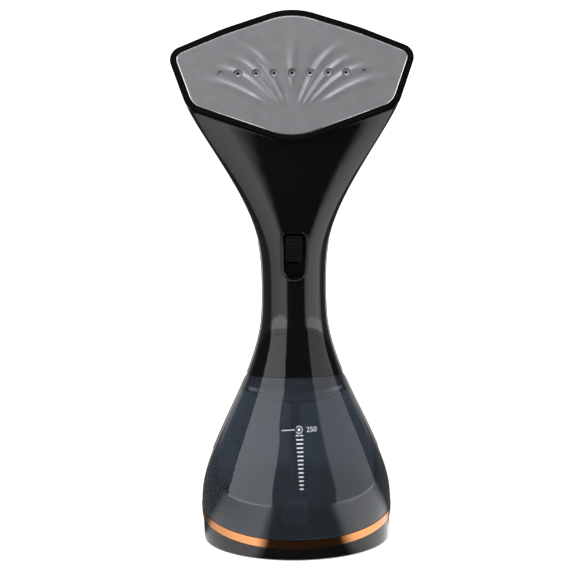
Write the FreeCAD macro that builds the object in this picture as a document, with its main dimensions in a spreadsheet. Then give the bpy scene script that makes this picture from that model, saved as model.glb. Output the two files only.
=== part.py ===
import FreeCAD, Part
import os
from functools import lru_cache
from math import atan2, cos, degrees, radians, sin, tan

import Sketcher
from FreeCAD import Placement, Rotation, Vector

# Hand-held garment steamer, millimetres. +Z is up, the soleplate faces -Y, and the origin is the
# middle of the base's underside. The tank is the stand; the handle and head lift off it.

# --- Driving dimensions -------------------------------------------------------------------------

SIZES = [
    ("base_width", 96.2, "width of the base where it meets the pad"),
    ("base_depth", 91.0, "depth of the base where it meets the pad"),
    ("tank_width", 99.0, "widest part of the tank"),
    ("tank_depth", 94.0, "deepest part of the tank"),
    ("widest_height", 22.0, "height of the widest part"),
    ("neck_width", 33.2, "width of the grip where it is narrowest"),
    ("neck_depth", 36.0, "depth of the grip where it is narrowest"),
    ("neck_height", 125.0, "height of the narrowest part of the grip"),
    ("taper_bias", 0.93, "below 1 moves the tank's taper downwards"),
    ("flare_height", 142.0, "height where the grip starts to open into the head"),
    ("seam_height", 88.0, "parting line of tank and handle, at the middle"),
    ("seam_slope", -0.14, "rise of the parting line for each mm towards the back"),
    ("ring_height", 16.5, "middle of the accent ring, at the middle"),
    ("ring_slope", 0.167, "rise of the accent ring for each mm towards the back"),
    ("ring_band", 4.5, "height of the accent ring"),
    ("ring_thickness", 2.2, "radial thickness of the accent ring"),
    ("ring_proud", 0.3, "how far the accent ring stands out"),
    ("shell_wall", 2.2, "wall of the handle and head shells"),
    ("tank_wall", 2.4, "wall of the water tank"),
    ("cap_wall", 2.2, "wall of the base cap"),
    ("fit_gap", 0.2, "gap between fixed mouldings"),
    ("slide_gap", 0.4, "gap round a part that slides"),
    ("tank_floor_height", 3.2, "underside of the tank's floor"),
    ("tank_floor", 2.2, "thickness of the tank's floor"),
    ("cap_floor", 2.4, "height of the top of the base cap's floor"),
    ("pad_thickness", 1.2, "anti-slip pad"),
    ("pad_recess", 0.6, "how deep the pad sits in the base cap"),
    ("pad_margin", 6.0, "from the edge of the base to the pad"),
    ("mouth_half_width", 21.8, "filling mouth of the tank, half width"),
    ("mouth_half_depth", 21.2, "filling mouth of the tank, half depth"),
    ("mouth_length", 9.0, "straight length of the mouth below the parting line"),
    ("plug_length", 11.0, "plug below the parting line"),
    ("plug_gap", 0.6, "gap between plug and mouth"),
    ("spigot_rise", 4.0, "plug above the parting line, inside the handle"),
    ("seal_height", 3.0, "height of the plug's seal"),
    ("seal_depth", 1.8, "radial thickness of the plug's seal"),
    ("seal_rise", 1.5, "plug below its seal"),
    ("plug_cap", 1.0, "plug above the top of the dip tube"),
    ("seal_gap", 0.3, "gap between seal and mouth"),
    ("plate_height", 247.2, "height of the middle of the soleplate"),
    ("plate_forward", 19.0, "how far the soleplate's middle is in front of the origin"),
    ("plate_tilt", 74.0, "tilt of the soleplate back from level, degrees"),
    ("plate_half_width", 59.1, "side corner of the soleplate"),
    ("plate_side_height", 10.3, "side corner above the soleplate's middle"),
    ("plate_top", 31.6, "top corner of the soleplate before rounding"),
    ("plate_shoulder", 33.8, "bend of the soleplate's upper edges, from the middle"),
    ("plate_shoulder_height", 20.7, "that bend above the soleplate's middle"),
    ("plate_bottom", 32.6, "bottom corner of the soleplate before rounding"),
    ("plate_low_half_width", 50.4, "lower corner of the soleplate"),
    ("plate_low_drop", 14.6, "lower corner below the soleplate's middle"),
    ("plate_top_radius", 35.0, "rounding of the soleplate's top corner"),
    ("plate_shoulder_radius", 120.0, "rounding of the bends in its upper edges"),
    ("plate_side_radius", 3.5, "rounding of its side corners"),
    ("plate_low_radius", 9.0, "rounding of its lower corners"),
    ("plate_bottom_radius", 30.0, "rounding of its bottom corner"),
    ("front_swell", 4.0, "how much fuller the head's front is than a straight line"),
    ("back_swell", 6.0, "how far the back of the head swells behind the grip"),
    ("back_rise", 58.0, "how soon the back of the head curves forward"),
    ("crown_run", 38.0, "how far the crown runs back from the bezel"),
    ("plate_thickness", 4.0, "soleplate"),
    ("plate_proud", 1.0, "soleplate face in front of the bezel"),
    ("plate_chamfer", 0.8, "chamfer round the soleplate"),
    ("plate_gap", 0.3, "gap between soleplate and bezel"),
    ("bezel_width", 3.3, "rim of the bezel outside the soleplate"),
    ("bezel_depth", 4.5, "depth of the bezel"),
    ("bezel_step", 0.9, "width of the step on the bezel's rim"),
    ("bezel_step_depth", 1.2, "depth of the step on the bezel's rim"),
    ("bezel_ledge", 1.6, "ledge that the soleplate sits on"),
    ("nozzle_pitch", 9.05, "spacing of the steam nozzles"),
    ("nozzle_count", 7, "steam nozzles"),
    ("nozzle_rise", 0.8, "nozzle row above the soleplate's middle"),
    ("nozzle_sink_radius", 2.15, "counterbore of a nozzle"),
    ("nozzle_sink_depth", 0.8, "depth of the counterbore"),
    ("nozzle_radius", 0.8, "steam hole"),
    ("dimple_radius", 1.4, "blind dimple at each end of the row"),
    ("block_width", 76.0, "heater block"),
    ("block_height", 34.0, "heater block"),
    ("block_depth", 10.0, "heater block"),
    ("block_drop", 3.0, "heater block below the soleplate's middle"),
    ("block_corner", 9.0, "corner radius of block, cover and gasket"),
    ("chamber_width", 57.0, "steam chamber in the block"),
    ("chamber_height", 15.0, "steam chamber in the block"),
    ("chamber_depth", 6.0, "steam chamber in the block"),
    ("chamber_drop", 2.5, "steam chamber below the block's middle"),
    ("chamber_corner", 2.0, "corner radius of the steam chamber"),
    ("gasket_thickness", 1.0, "gasket between soleplate and block"),
    ("gasket_band", 4.0, "width of the gasket"),
    ("cover_thickness", 5.0, "cover of the steam chamber"),
    ("element_radius", 3.0, "tubular heating element"),
    ("element_half_span", 33.0, "from the middle to a leg of the element"),
    ("element_top", 12.0, "top run of the element above the block's middle"),
    ("element_bend", 6.0, "bend radius of the element"),
    ("element_low", 12.0, "lower end of the element below the middle"),
    ("terminal_radius", 1.5, "cold pin of the element"),
    ("terminal_length", 12.0, "cold pin of the element"),
    ("element_gap", 0.15, "gap round the element"),
    ("thermostat_radius", 7.0, "thermostat"),
    ("thermostat_height", 7.0, "thermostat"),
    ("fuse_radius", 2.2, "thermal fuse"),
    ("fuse_length", 14.0, "thermal fuse"),
    ("sensor_offset", 19.0, "thermostat and fuse from the middle"),
    ("sensor_drop", 3.0, "thermostat and fuse below the middle"),
    ("heater_screw_radius", 1.5, "heater screw"),
    ("heater_screw_length", 9.0, "heater screw below its head"),
    ("heater_screw_offset", 20.0, "heater screw from the middle"),
    ("heater_screw_top", 7.0, "upper heater screws above the middle"),
    ("heater_screw_low", 13.4, "lower heater screws below the middle"),
    ("inlet_drop", 8.0, "water inlet of the chamber below the middle"),
    ("inlet_radius", 1.8, "outside of the water inlet spigot"),
    ("inlet_bore", 1.0, "bore of the water inlet spigot"),
    ("inlet_length", 8.0, "water inlet spigot"),
    ("hose_radius", 3.0, "outside of the hoses"),
    ("hose_bore", 1.9, "bore of the hoses"),
    ("hose_behind", 5.0, "outlet hose behind the middle, where it passes the switch"),
    ("hose_overlap", 5.0, "how far a hose goes over its spigot"),
    ("hose_straight", 4.0, "outlet hose above the pump's spigot, before it bends"),
    ("hose_step", 18.0, "where the outlet hose is wholly behind the middle, above that spigot"),
    ("hose_turn", 48.0, "where the outlet hose turns back, above the top of the grip"),
    ("hose_run", 16.0, "straight run of the outlet hose into the steam chamber"),
    ("hose_bend", 10.0, "bend radius of the outlet hose"),
    ("hose_tight_bend", 9.0, "bend radius of the outlet hose at the steam chamber"),
    ("pump_radius", 9.5, "pump"),
    ("pump_length", 28.0, "pump"),
    ("pump_base_height", 103.0, "underside of the pump's casing"),
    ("spigot_radius", 1.8, "water spigots of the pump and of the plug"),
    ("spigot_bore", 1.0, "bore of those spigots"),
    ("spigot_length", 6.0, "length of the pump's spigots"),
    ("plug_spigot_length", 4.0, "length of the plug's spigot"),
    ("mount_width", 3.0, "rubber ring round the pump"),
    ("mount_radius", 11.8, "outside of the rubber rings"),
    ("mount_inset", 3.0, "rubber ring from the end of the pump"),
    ("switch_height", 154.0, "middle of the switch frame"),
    ("switch_forward", 18.2, "middle of the switch frame in front of the origin"),
    ("switch_lean", 2.0, "lean of the switch frame, degrees"),
    ("frame_width", 14.0, "switch frame"),
    ("frame_height", 26.1, "switch frame"),
    ("frame_top_corner", 3.2, "upper corners of the switch frame"),
    ("frame_low_corner", 6.6, "lower corners of the switch frame"),
    ("frame_rim", 1.4, "rim of the switch frame"),
    ("frame_proud", 0.8, "switch frame above the handle's surface"),
    ("frame_floor_depth", 3.2, "floor of the switch frame below its middle plane"),
    ("frame_floor", 1.0, "thickness of that floor"),
    ("knob_width", 8.4, "switch knob"),
    ("knob_height", 13.6, "switch knob"),
    ("knob_thickness", 2.6, "switch knob"),
    ("knob_corner", 1.6, "corner radius of the switch knob"),
    ("knob_rise", 3.6, "knob above the middle of the frame when the steam is off"),
    ("knob_travel", 6.0, "travel of the switch knob"),
    ("rib_count", 6, "grip ribs on the knob"),
    ("rib_pitch", 1.9, "spacing of the grip ribs"),
    ("rib_width", 0.9, "a grip rib"),
    ("rib_height", 0.6, "a grip rib"),
    ("rib_margin", 0.9, "from the knob's side to the ribs"),
    ("stem_width", 3.4, "stem under the knob"),
    ("stem_height", 5.0, "stem under the knob"),
    ("stem_length", 3.0, "stem under the knob"),
    ("switch_width", 11.0, "electric switch"),
    ("switch_body_height", 22.0, "electric switch"),
    ("switch_depth", 7.6, "electric switch"),
    ("trim_width", 2.4, "trim strip"),
    ("trim_middle", 1.6, "trim strip behind the middle"),
    ("trim_proud", 0.3, "trim strip above the surface"),
    ("trim_depth", 0.9, "trim strip below the surface"),
    ("trim_top", 158.0, "upper end of the handle's trim"),
    ("trim_low", 48.0, "lower end of the tank's trim"),
    ("trim_seam_gap", 1.2, "from the parting line to the trims' ends"),
    ("split_low", 1.2, "parting of the shells behind the middle, in the grip"),
    ("split_bend_height", 160.0, "height where the shells' parting starts to lean forward"),
    ("tube_radius", 2.65, "dip tube"),
    ("tube_bore", 1.7, "bore of the dip tube"),
    ("tube_low", 14.0, "lower end of the dip tube"),
    ("filter_radius", 6.7, "weighted filter"),
    ("filter_length", 12.0, "weighted filter"),
    ("filter_height", 13.0, "middle of the weighted filter"),
    ("filter_edge", 1.0, "rounding of the filter's ends"),
    ("filter_port", 2.7, "port in the face of the filter"),
    ("filter_port_depth", 1.6, "depth of that port"),
    ("tube_fit", 0.05, "radial gap round the dip tube"),
    ("vent_radius", 2.4, "vent valve"),
    ("vent_bore", 0.8, "bore of the vent valve"),
    ("vent_length", 6.0, "vent valve"),
    ("vent_offset", 12.0, "vent valve from the middle"),
    ("inlet_centre", 118.0, "height of the cord inlet"),
    ("inlet_outer_radius", 5.6, "cord inlet bush through the shell"),
    ("cord_bore", 3.6, "bore of the cord inlet bush"),
    ("bush_collar_radius", 6.8, "collar of the cord inlet bush"),
    ("bush_collar_length", 3.0, "collar of the cord inlet bush outside the shell"),
    ("bush_neck_length", 5.0, "cord inlet bush inside its collar"),
    ("bush_back", 22.5, "end of the cord inlet bush behind the middle"),
    ("screw_radius", 1.4, "shell screw"),
    ("screw_head_radius", 2.7, "shell screw"),
    ("screw_head_height", 1.8, "shell screw"),
    ("cross_width", 0.8, "cross recess of a screw"),
    ("cross_depth", 0.8, "cross recess of a screw"),
    ("cross_span", 3.2, "cross recess of a screw"),
    ("screw_fit", 0.05, "gap between a screw and the boss that it cuts its thread in"),
    ("screw_clear", 0.3, "gap between a screw and the boss that it passes through"),
    ("boss_wall", 1.7, "wall of a screw boss"),
    ("grip_screw_offset", 10.2, "grip screws from the middle"),
    ("grip_screw_height", 138.5, "height of the grip screws"),
    ("grip_screw_seat", 8.0, "seat of the grip screws behind the middle"),
    ("head_screw_offset", 20.0, "head screws from the middle"),
    ("head_screw_height", 199.0, "height of the head screws"),
    ("head_screw_seat", 9.0, "seat of the head screws behind the middle"),
    ("screw_reach", 9.0, "how far a screw goes past the shells' parting"),
]

FAR = 300.0             # larger than the whole steamer
OUTLINE_POINTS = 96     # points in each cross-section of the head and grip
SEAM_ANGLE = 26.25      # where a cross-section starts and ends, behind the right-hand side
FLARE_STEPS = 9         # cross-sections between the grip and the bezel
OPENING_POWER = 2.0     # how late the head starts to widen
OPENING_START = 2.3     # how fast it widens once it has started
LOFT_MARGIN = 12.0      # how far the lofts run past the parting line of tank and handle
OVERLAP = 0.5           # how far shapes that are joined run into each other

doc = FreeCAD.newDocument("garment_steamer")
sheet = doc.addObject("Spreadsheet::Sheet", "dims")
for row, (alias, number, meaning) in enumerate(SIZES, start=1):
    sheet.set(f"A{row}", alias)
    sheet.set(f"B{row}", str(number))
    sheet.set(f"C{row}", meaning)
    sheet.setAlias(f"B{row}", alias)
doc.recompute()


def dim(alias):
    return float(sheet.get(alias))


# --- Sub-parts and how they are made ------------------------------------------------------------

NODES = []


def keep(item, name):
    """Name an object as a finished sub-part."""
    item.Label = name
    NODES.append(item)
    return item


def solid_node(name, shape, placement=None):
    """A sub-part whose free-form shape is worked out from the sheet."""
    item = doc.addObject("Part::Feature", name)
    item.Shape = shape
    if placement:
        item.Placement = placement
    return keep(item, name)


def new_body(name):
    body = doc.addObject("PartDesign::Body", name)
    return keep(body, name)


def sketch_on(body, role, name):
    sketch = body.newObject("Sketcher::SketchObject", name)
    plane = next(item for item in body.Origin.OriginFeatures if item.Role == role)
    sketch.AttachmentSupport = [(plane, "")]
    sketch.MapMode = "FlatFace"
    return sketch


def add_polygon(sketch, corners):
    """A closed outline whose corners are pairs of expressions, measured from the sketch's origin."""
    start = len(sketch.Geometry)
    seeds = [Vector(*[sheet_value(text) for text in corner], 0) for corner in corners]
    count = len(corners)
    for index in range(count):
        sketch.addGeometry(Part.LineSegment(seeds[index], seeds[(index + 1) % count]), False)
    for index in range(count):
        after = start + (index + 1) % count
        sketch.addConstraint(Sketcher.Constraint("Coincident", start + index, 2, after, 1))
    for index, corner in enumerate(corners):
        for kind, text, seed in zip(("DistanceX", "DistanceY"), corner, seeds[index]):
            rule = sketch.addConstraint(Sketcher.Constraint(kind, -1, 1, start + index, 1, seed))
            sketch.renameConstraint(rule, f"corner{start + index}_{kind}")
            sketch.setExpression(f"Constraints.corner{start + index}_{kind}", text)


def add_circle(sketch, radius, across="0", up="0"):
    """A circle whose radius and centre are expressions."""
    centre = Vector(sheet_value(across), sheet_value(up), 0)
    circle = sketch.addGeometry(Part.Circle(centre, Vector(0, 0, 1), sheet_value(radius)), False)
    rules = (
        ("Radius", (circle, sheet_value(radius)), radius),
        ("DistanceX", (-1, 1, circle, 3, centre.x), across),
        ("DistanceY", (-1, 1, circle, 3, centre.y), up),
    )
    for kind, where, text in rules:
        rule = sketch.addConstraint(Sketcher.Constraint(kind, *where))
        sketch.renameConstraint(rule, f"circle{circle}_{kind}")
        sketch.setExpression(f"Constraints.circle{circle}_{kind}", text)


def sheet_value(text):
    """The present value of an expression on the sheet's cells."""
    return float(sheet.evalExpression(text.replace("dims.", "")))


def box_corners(width, height, up="0"):
    """Corners of a rectangle centred across, and centred on a height."""
    half = f"({width}) / 2"
    low = f"{up} - ({height}) / 2"
    high = f"{up} + ({height}) / 2"
    return [(f"-{half}", low), (half, low), (half, high), (f"-{half}", high)]


def pad(body, sketch, length, name):
    feature = body.newObject("PartDesign::Pad", name)
    feature.Profile = sketch
    feature.setExpression("Length", length)
    body.Tip = feature
    doc.recompute()
    return feature


def pocket(body, sketch, length, name, reverse=False):
    """A pocket that must take something away."""
    before = body.Shape.Volume
    feature = body.newObject("PartDesign::Pocket", name)
    feature.Profile = sketch
    feature.Reversed = reverse
    feature.setExpression("Length", length)
    body.Tip = feature
    doc.recompute()
    if body.Shape.Volume > before - 0.01:
        raise RuntimeError(f"{body.Label}: {name} cuts nothing")
    return feature


def upright_edges(shape, direction):
    """Names of the straight edges along a direction."""
    names = []
    for index, edge in enumerate(shape.Edges, start=1):
        if edge.Curve.TypeId == "Part::GeomLine":
            if abs(edge.Curve.Direction.dot(direction)) > 0.999:
                names.append(f"Edge{index}")
    return names


def round_corners(body, base, radius, name):
    """Round the corners that run along the pad."""
    feature = body.newObject("PartDesign::Fillet", name)
    feature.Base = (base, upright_edges(base.Shape, Vector(0, 0, 1)))
    feature.setExpression("Radius", radius)
    body.Tip = feature
    doc.recompute()
    return feature


def turned_body(name, outline, placement):
    """A body of revolution about its own Z; the outline is (radius, height) in expressions."""
    body = new_body(name)
    sketch = sketch_on(body, "XZ_Plane", f"{name}_outline")
    add_polygon(sketch, outline)
    feature = body.newObject("PartDesign::Revolution", f"{name}_turned")
    feature.Profile = sketch
    feature.ReferenceAxis = (sketch, ["V_Axis"])
    feature.Angle = 360
    body.Tip = feature
    body.Placement = placement
    doc.recompute()
    return body


# --- Geometry shared by the shells --------------------------------------------------------------

def ellipse(half_width, half_depth, height):
    """A level ellipse about the Z axis."""
    if half_width >= half_depth:
        curve = Part.Ellipse(Vector(0, 0, height), half_width, half_depth)
        return Part.Wire(curve.toShape())
    curve = Part.Ellipse(Vector(0, 0, height), half_depth, half_width)
    wire = Part.Wire(curve.toShape())
    wire.rotate(Vector(0, 0, height), Vector(0, 0, 1), 90)
    return wire


def oval_prism(half_width, half_depth, low, high):
    """An upright oval block."""
    face = Part.Face(ellipse(half_width, half_depth, low))
    return face.extrude(Vector(0, 0, high - low))


def half_sizes(height):
    """Half width and half depth of the outside at a height below the head."""
    base = (dim("base_width"), dim("base_depth"))
    wide = (dim("tank_width"), dim("tank_depth"))
    neck = (dim("neck_width"), dim("neck_depth"))
    if height <= dim("widest_height"):
        rise = max(height, 0) / dim("widest_height")
        share = sin(radians(90 * rise))
        return [(low + (high - low) * share) / 2 for low, high in zip(base, wide)]
    run = min((height - dim("widest_height")) / (dim("neck_height") - dim("widest_height")), 1)
    run = run ** dim("taper_bias")
    share = run * run * (3 - 2 * run)
    return [(start + (end - start) * share) / 2 for start, end in zip(wide, neck)]


def slab(low, high):
    """All between two planes, each given as its height at the middle and its slope to the back."""
    corners = [
        (-FAR, low[0] - low[1] * FAR),
        (FAR, low[0] + low[1] * FAR),
        (FAR, high[0] + high[1] * FAR),
        (-FAR, high[0] - high[1] * FAR),
    ]
    wire = Part.makePolygon([Vector(-FAR, y, z) for y, z in corners + corners[:1]])
    return Part.Face(wire).extrude(Vector(2 * FAR, 0, 0))


def rounded_outline(corners):
    """A closed wire of straight sides and tangent arcs; corners are (x, y, radius)."""
    points = [Vector(x, y, 0) for x, y, radius in corners]
    count = len(points)
    arcs = []
    for index, (x, y, radius) in enumerate(corners):
        here = points[index]
        back = (points[index - 1] - here).normalize()
        ahead = (points[(index + 1) % count] - here).normalize()
        half = back.getAngle(ahead) / 2
        run = radius / tan(half)
        middle = here + (back + ahead).normalize() * (radius / sin(half) - radius)
        arcs.append(Part.Arc(here + back * run, middle, here + ahead * run))
    edges = []
    for index, arc in enumerate(arcs):
        edges.append(arc.toShape())
        nearby = arcs[(index + 1) % count]
        edges.append(Part.LineSegment(arc.EndPoint, nearby.StartPoint).toShape())
    return Part.Wire(edges)


def plate_outline(offset=0.0):
    """Outline of the soleplate, grown by an offset, in the plane of its face."""
    shoulder = (dim("plate_shoulder"), dim("plate_shoulder_height"), dim("plate_shoulder_radius"))
    side = (dim("plate_half_width"), dim("plate_side_height"), dim("plate_side_radius"))
    low = (dim("plate_low_half_width"), -dim("plate_low_drop"), dim("plate_low_radius"))
    corners = [
        (0, dim("plate_top"), dim("plate_top_radius")),
        shoulder,
        side,
        low,
        (0, -dim("plate_bottom"), dim("plate_bottom_radius")),
        (-low[0], low[1], low[2]),
        (-side[0], side[1], side[2]),
        (-shoulder[0], shoulder[1], shoulder[2]),
    ]
    wire = rounded_outline(corners)
    return wire.makeOffset2D(offset) if offset else wire


def plate_prism(offset, low, high):
    """A block of the soleplate's outline between two depths; 0 is the bezel's face."""
    face = Part.Face(plate_outline(offset))
    face.translate(Vector(0, 0, low))
    return face.extrude(Vector(0, 0, high - low))


def head_frame():
    """Placement of the soleplate: X across, Y up the plate, Z out of its face."""
    middle = Vector(0, -dim("plate_forward"), dim("plate_height"))
    return Placement(middle, Rotation(Vector(1, 0, 0), dim("plate_tilt")))


def switch_frame_place():
    """Placement of the switch: X across, Y up the grip, Z out of its surface."""
    middle = Vector(0, -dim("switch_forward"), dim("switch_height"))
    return Placement(middle, Rotation(Vector(1, 0, 0), 90 + dim("switch_lean")))


def rim_sizes():
    box = plate_outline(dim("bezel_width")).BoundBox
    return box.XMax, box.YMax, box.YMin


def outline_angle(index):
    return radians(360 * index / OUTLINE_POINTS + SEAM_ANGLE)


def rim_radii():
    """The bezel's outline as a distance for each direction; 1 is the ellipse that it fits."""
    outline = plate_outline(dim("bezel_width"))
    width, top, bottom = rim_sizes()
    middle = (top + bottom) / 2
    depth = (top - bottom) / 2
    radii = []
    for index in range(OUTLINE_POINTS):
        angle = outline_angle(index)
        ray = Vector(width * cos(angle), depth * sin(angle), 0)
        start = Vector(0, middle, 0)
        line = Part.LineSegment(start, start + ray * 2).toShape()
        hit = outline.section(line).Vertexes[0].Point
        radii.append((hit - start).Length / ray.Length)
    return radii


RIM_RADII = rim_radii()


def cross_section(half_width, half_depth, share, placement):
    """A smooth closed section; share 0 is an ellipse and 1 is the bezel's rounded hexagon."""
    points = []
    for index, radius in enumerate(RIM_RADII):
        angle = outline_angle(index)
        reach = 1 + (radius - 1) * share
        point = Vector(half_width * reach * cos(angle), half_depth * reach * sin(angle), 0)
        points.append(placement.multVec(point))
    curve = Part.BSplineCurve()
    # the same parameters in every section keep a loft's surfaces small
    curve.interpolate(Points=points, PeriodicFlag=True, Parameters=list(range(OUTLINE_POINTS + 1)))
    return Part.Wire(curve.toShape())


def curve_point(points, share):
    """Place and direction on a cubic curve given by its four control points."""
    start, first, second, end = points
    rest = 1 - share
    place = start * rest ** 3 + first * (3 * rest ** 2 * share)
    place += second * (3 * rest * share ** 2) + end * share ** 3
    along = (first - start) * rest ** 2 + (second - first) * (2 * rest * share)
    along += (end - second) * share ** 2
    return place, along.normalize()


@lru_cache
def head_profile():
    """Control points of the head's front and back curves, in the middle plane."""
    grip_depth = half_sizes(dim("neck_height"))[1]
    flare = dim("flare_height")
    width, top, bottom = rim_sizes()
    frame = head_frame()
    low = frame.multVec(Vector(0, bottom, -dim("bezel_depth")))
    high = frame.multVec(Vector(0, top, -dim("bezel_depth")))
    third = (low.z - flare) / 3
    outwards = frame.Rotation.multVec(Vector(0, 0, 1))
    front = (
        Vector(0, -grip_depth, flare),
        Vector(0, -grip_depth, flare + third),
        Vector(0, low.y + dim("front_swell"), low.z - third),
        low,
    )
    back = (
        Vector(0, grip_depth, flare),
        Vector(0, grip_depth + dim("back_swell"), flare + dim("back_rise")),
        high - outwards * dim("crown_run"),
        high,
    )
    return front, back


def flare_section(share, inset, past_rim=0.0):
    """A section of the head; share 0 is the top of the grip and 1 is the back of the bezel."""
    (front, front_way), (back, back_way) = [curve_point(curve, share) for curve in head_profile()]
    up = (back - front).normalize()
    front += up * (inset / front_way.cross(up).Length)
    back -= up * (inset / back_way.cross(up).Length)
    grip_width = half_sizes(dim("neck_height"))[0]
    opening = share ** OPENING_POWER * (OPENING_START + (1 - OPENING_START) * share)
    half_width = grip_width + (rim_sizes()[0] - grip_width) * opening - inset
    middle = (front + back) / 2 + up.cross(Vector(-1, 0, 0)) * past_rim
    lean = Rotation(Vector(1, 0, 0), degrees(atan2(up.z, up.y)))
    half_depth = (back - front).Length / 2
    return cross_section(half_width, half_depth, share ** 3, Placement(middle, lean))


@lru_cache
def grip_loft(inset, past_rim=0.0):
    """Solid of the handle and head, inset from the outside."""
    low = dim("seam_height") - LOFT_MARGIN
    step = (dim("neck_height") - low) / 5
    sections = []
    for index in range(6):
        height = low + step * index
        half_width, half_depth = half_sizes(height)
        place = Placement(Vector(0, 0, height), Rotation())
        sections.append(cross_section(half_width - inset, half_depth - inset, 0, place))
    for index in range(FLARE_STEPS + 1):
        over = past_rim if index == FLARE_STEPS else 0
        sections.append(flare_section(index / FLARE_STEPS, inset, over))
    return Part.makeLoft(sections, True, False)


@lru_cache
def tank_loft(inset):
    """Solid of the tank and base, inset from the outside."""
    top = dim("seam_height") + LOFT_MARGIN
    widest = dim("widest_height")
    heights = [-dim("tank_floor"), widest / 3, widest * 2 / 3, widest]
    heights += [widest + (top - widest) * index / 6 for index in range(1, 7)]
    sections = []
    for height in heights:
        half_width, half_depth = half_sizes(height)
        sections.append(ellipse(half_width - inset, half_depth - inset, height))
    return Part.makeLoft(sections, True, False)


def seam(shift=0.0):
    return dim("seam_height") + shift, dim("seam_slope")


def ring_plane(shift=0.0):
    return dim("ring_height") + shift, dim("ring_slope")


TOP = (2 * FAR, 0)
BOTTOM = (-FAR, 0)


def front_half():
    """All in front of the parting of the two shells."""
    bend = dim("split_bend_height")
    split = dim("split_low")
    corner = head_frame().multVec(Vector(0, dim("plate_side_height"), 0))
    slope = (corner.y - split) / (corner.z - bend)
    corners = [
        (-FAR, 0),
        (split, 0),
        (split, bend),
        (split + slope * FAR, bend + FAR),
        (-FAR, bend + FAR),
    ]
    wire = Part.makePolygon([Vector(-FAR, y, z) for y, z in corners + corners[:1]])
    return Part.Face(wire).extrude(Vector(2 * FAR, 0, 0))


def split_at(height):
    """Where the parting of the shells lies at a height."""
    corner = head_frame().multVec(Vector(0, dim("plate_side_height"), 0))
    bend = dim("split_bend_height")
    if height <= bend:
        return dim("split_low")
    return dim("split_low") + (corner.y - dim("split_low")) * (height - bend) / (corner.z - bend)


def bar(radius, start, end):
    """A round bar between two points."""
    return Part.makeCylinder(radius, (end - start).Length, start, end - start)


def rounded_bar(points, radius, bends):
    """A round tube's solid along straight runs joined by tangent arcs."""
    edges = []
    start = points[0]
    for before, corner, after, bend in zip(points, points[1:], points[2:], bends):
        back = (before - corner).normalize()
        ahead = (after - corner).normalize()
        half = back.getAngle(ahead) / 2
        run = bend / tan(half)
        arc_start = corner + back * run
        arc_end = corner + ahead * run
        middle = corner + (back + ahead).normalize() * (bend / sin(half) - bend)
        edges.append(Part.LineSegment(start, arc_start).toShape())
        edges.append(Part.Arc(arc_start, middle, arc_end).toShape())
        start = arc_end
    edges.append(Part.LineSegment(start, points[-1]).toShape())
    path = Part.Wire(edges)
    circle = Part.Circle(points[0], points[1] - points[0], radius)
    return path.makePipeShell([Part.Wire(circle.toShape())], True, True)


# --- Tank unit ----------------------------------------------------------------------------------

def tank_and_base():
    outside = tank_loft(0)
    ring_top = dim("ring_band") / 2 + dim("fit_gap")
    skirt_inset = dim("ring_thickness") + dim("fit_gap")
    skirt_outside = tank_loft(skirt_inset)
    floor_top = dim("tank_floor_height") + dim("tank_floor")

    wall = outside.common(slab(ring_plane(ring_top), seam(-dim("fit_gap") / 2)))
    skirt = skirt_outside.common(slab((dim("tank_floor_height"), 0), ring_plane(ring_top + OVERLAP)))
    ledge_rise = ring_top + dim("tank_wall")
    wide_cavity = tank_loft(dim("tank_wall"))
    wide_cavity = wide_cavity.common(slab(ring_plane(ledge_rise), seam(-dim("mouth_length"))))
    low_cavity = tank_loft(skirt_inset + dim("tank_wall"))
    low_cavity = low_cavity.common(slab((floor_top, 0), ring_plane(ledge_rise + OVERLAP)))
    mouth = oval_prism(dim("mouth_half_width"), dim("mouth_half_depth"),
                       dim("seam_height") - dim("mouth_length") - LOFT_MARGIN, FAR)
    mouth = mouth.common(slab(seam(-dim("mouth_length") - 1), TOP))
    tank = wall.fuse(skirt).cut(wide_cavity).cut(low_cavity).cut(mouth)

    trims = [trim_strip(side, tank_loft, slab((dim("trim_low"), 0), seam(-dim("trim_seam_gap"))))
             for side in (-1, 1)]
    for trim in trims:
        tank = tank.cut(trim)
    solid_node("tank", tank.removeSplitter())
    solid_node("tank_trim_left", trims[0])
    solid_node("tank_trim_right", trims[1])

    ring_slab = slab(ring_plane(-dim("ring_band") / 2), ring_plane(dim("ring_band") / 2))
    ring = tank_loft(-dim("ring_proud")).common(ring_slab).cut(tank_loft(dim("ring_thickness")))
    solid_node("accent_ring", ring)

    cap_bottom = dim("pad_thickness") - dim("pad_recess")
    cap_top = ring_plane(-dim("ring_band") / 2 - dim("fit_gap") / 2)
    cap = outside.common(slab((cap_bottom, 0), cap_top))
    cap = cap.cut(tank_loft(dim("cap_wall")).common(slab((dim("cap_floor"), 0), TOP)))
    pad_half_width = dim("base_width") / 2 - dim("pad_margin")
    pad_half_depth = dim("base_depth") / 2 - dim("pad_margin")
    gap = dim("fit_gap")
    cap = cap.cut(oval_prism(pad_half_width + gap, pad_half_depth + gap, -1, dim("pad_thickness")))
    solid_node("base_cap", cap)
    solid_node("base_pad", oval_prism(pad_half_width, pad_half_depth, 0, dim("pad_thickness")))


def trim_strip(side, loft, limits):
    """A thin strip let into the side, standing a little proud of it."""
    skin = loft(-dim("trim_proud")).cut(loft(dim("trim_depth")))
    low = dim("trim_middle") - dim("trim_width") / 2
    window = Part.makeBox(FAR, dim("trim_width"), 2 * FAR,
                          Vector(0 if side > 0 else -FAR, low, -FAR))
    return skin.common(window).common(limits)


# --- Handle and head shells ---------------------------------------------------------------------

def screw_axes():
    """Each shell screw: side offset, height and the place of its seat."""
    grip = (dim("grip_screw_offset"), dim("grip_screw_height"), dim("grip_screw_seat"))
    head = (dim("head_screw_offset"), dim("head_screw_height"), dim("head_screw_seat"))
    for offset, height, seat in (grip, head):
        for side in (-1, 1):
            yield side * offset, height, seat


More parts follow.
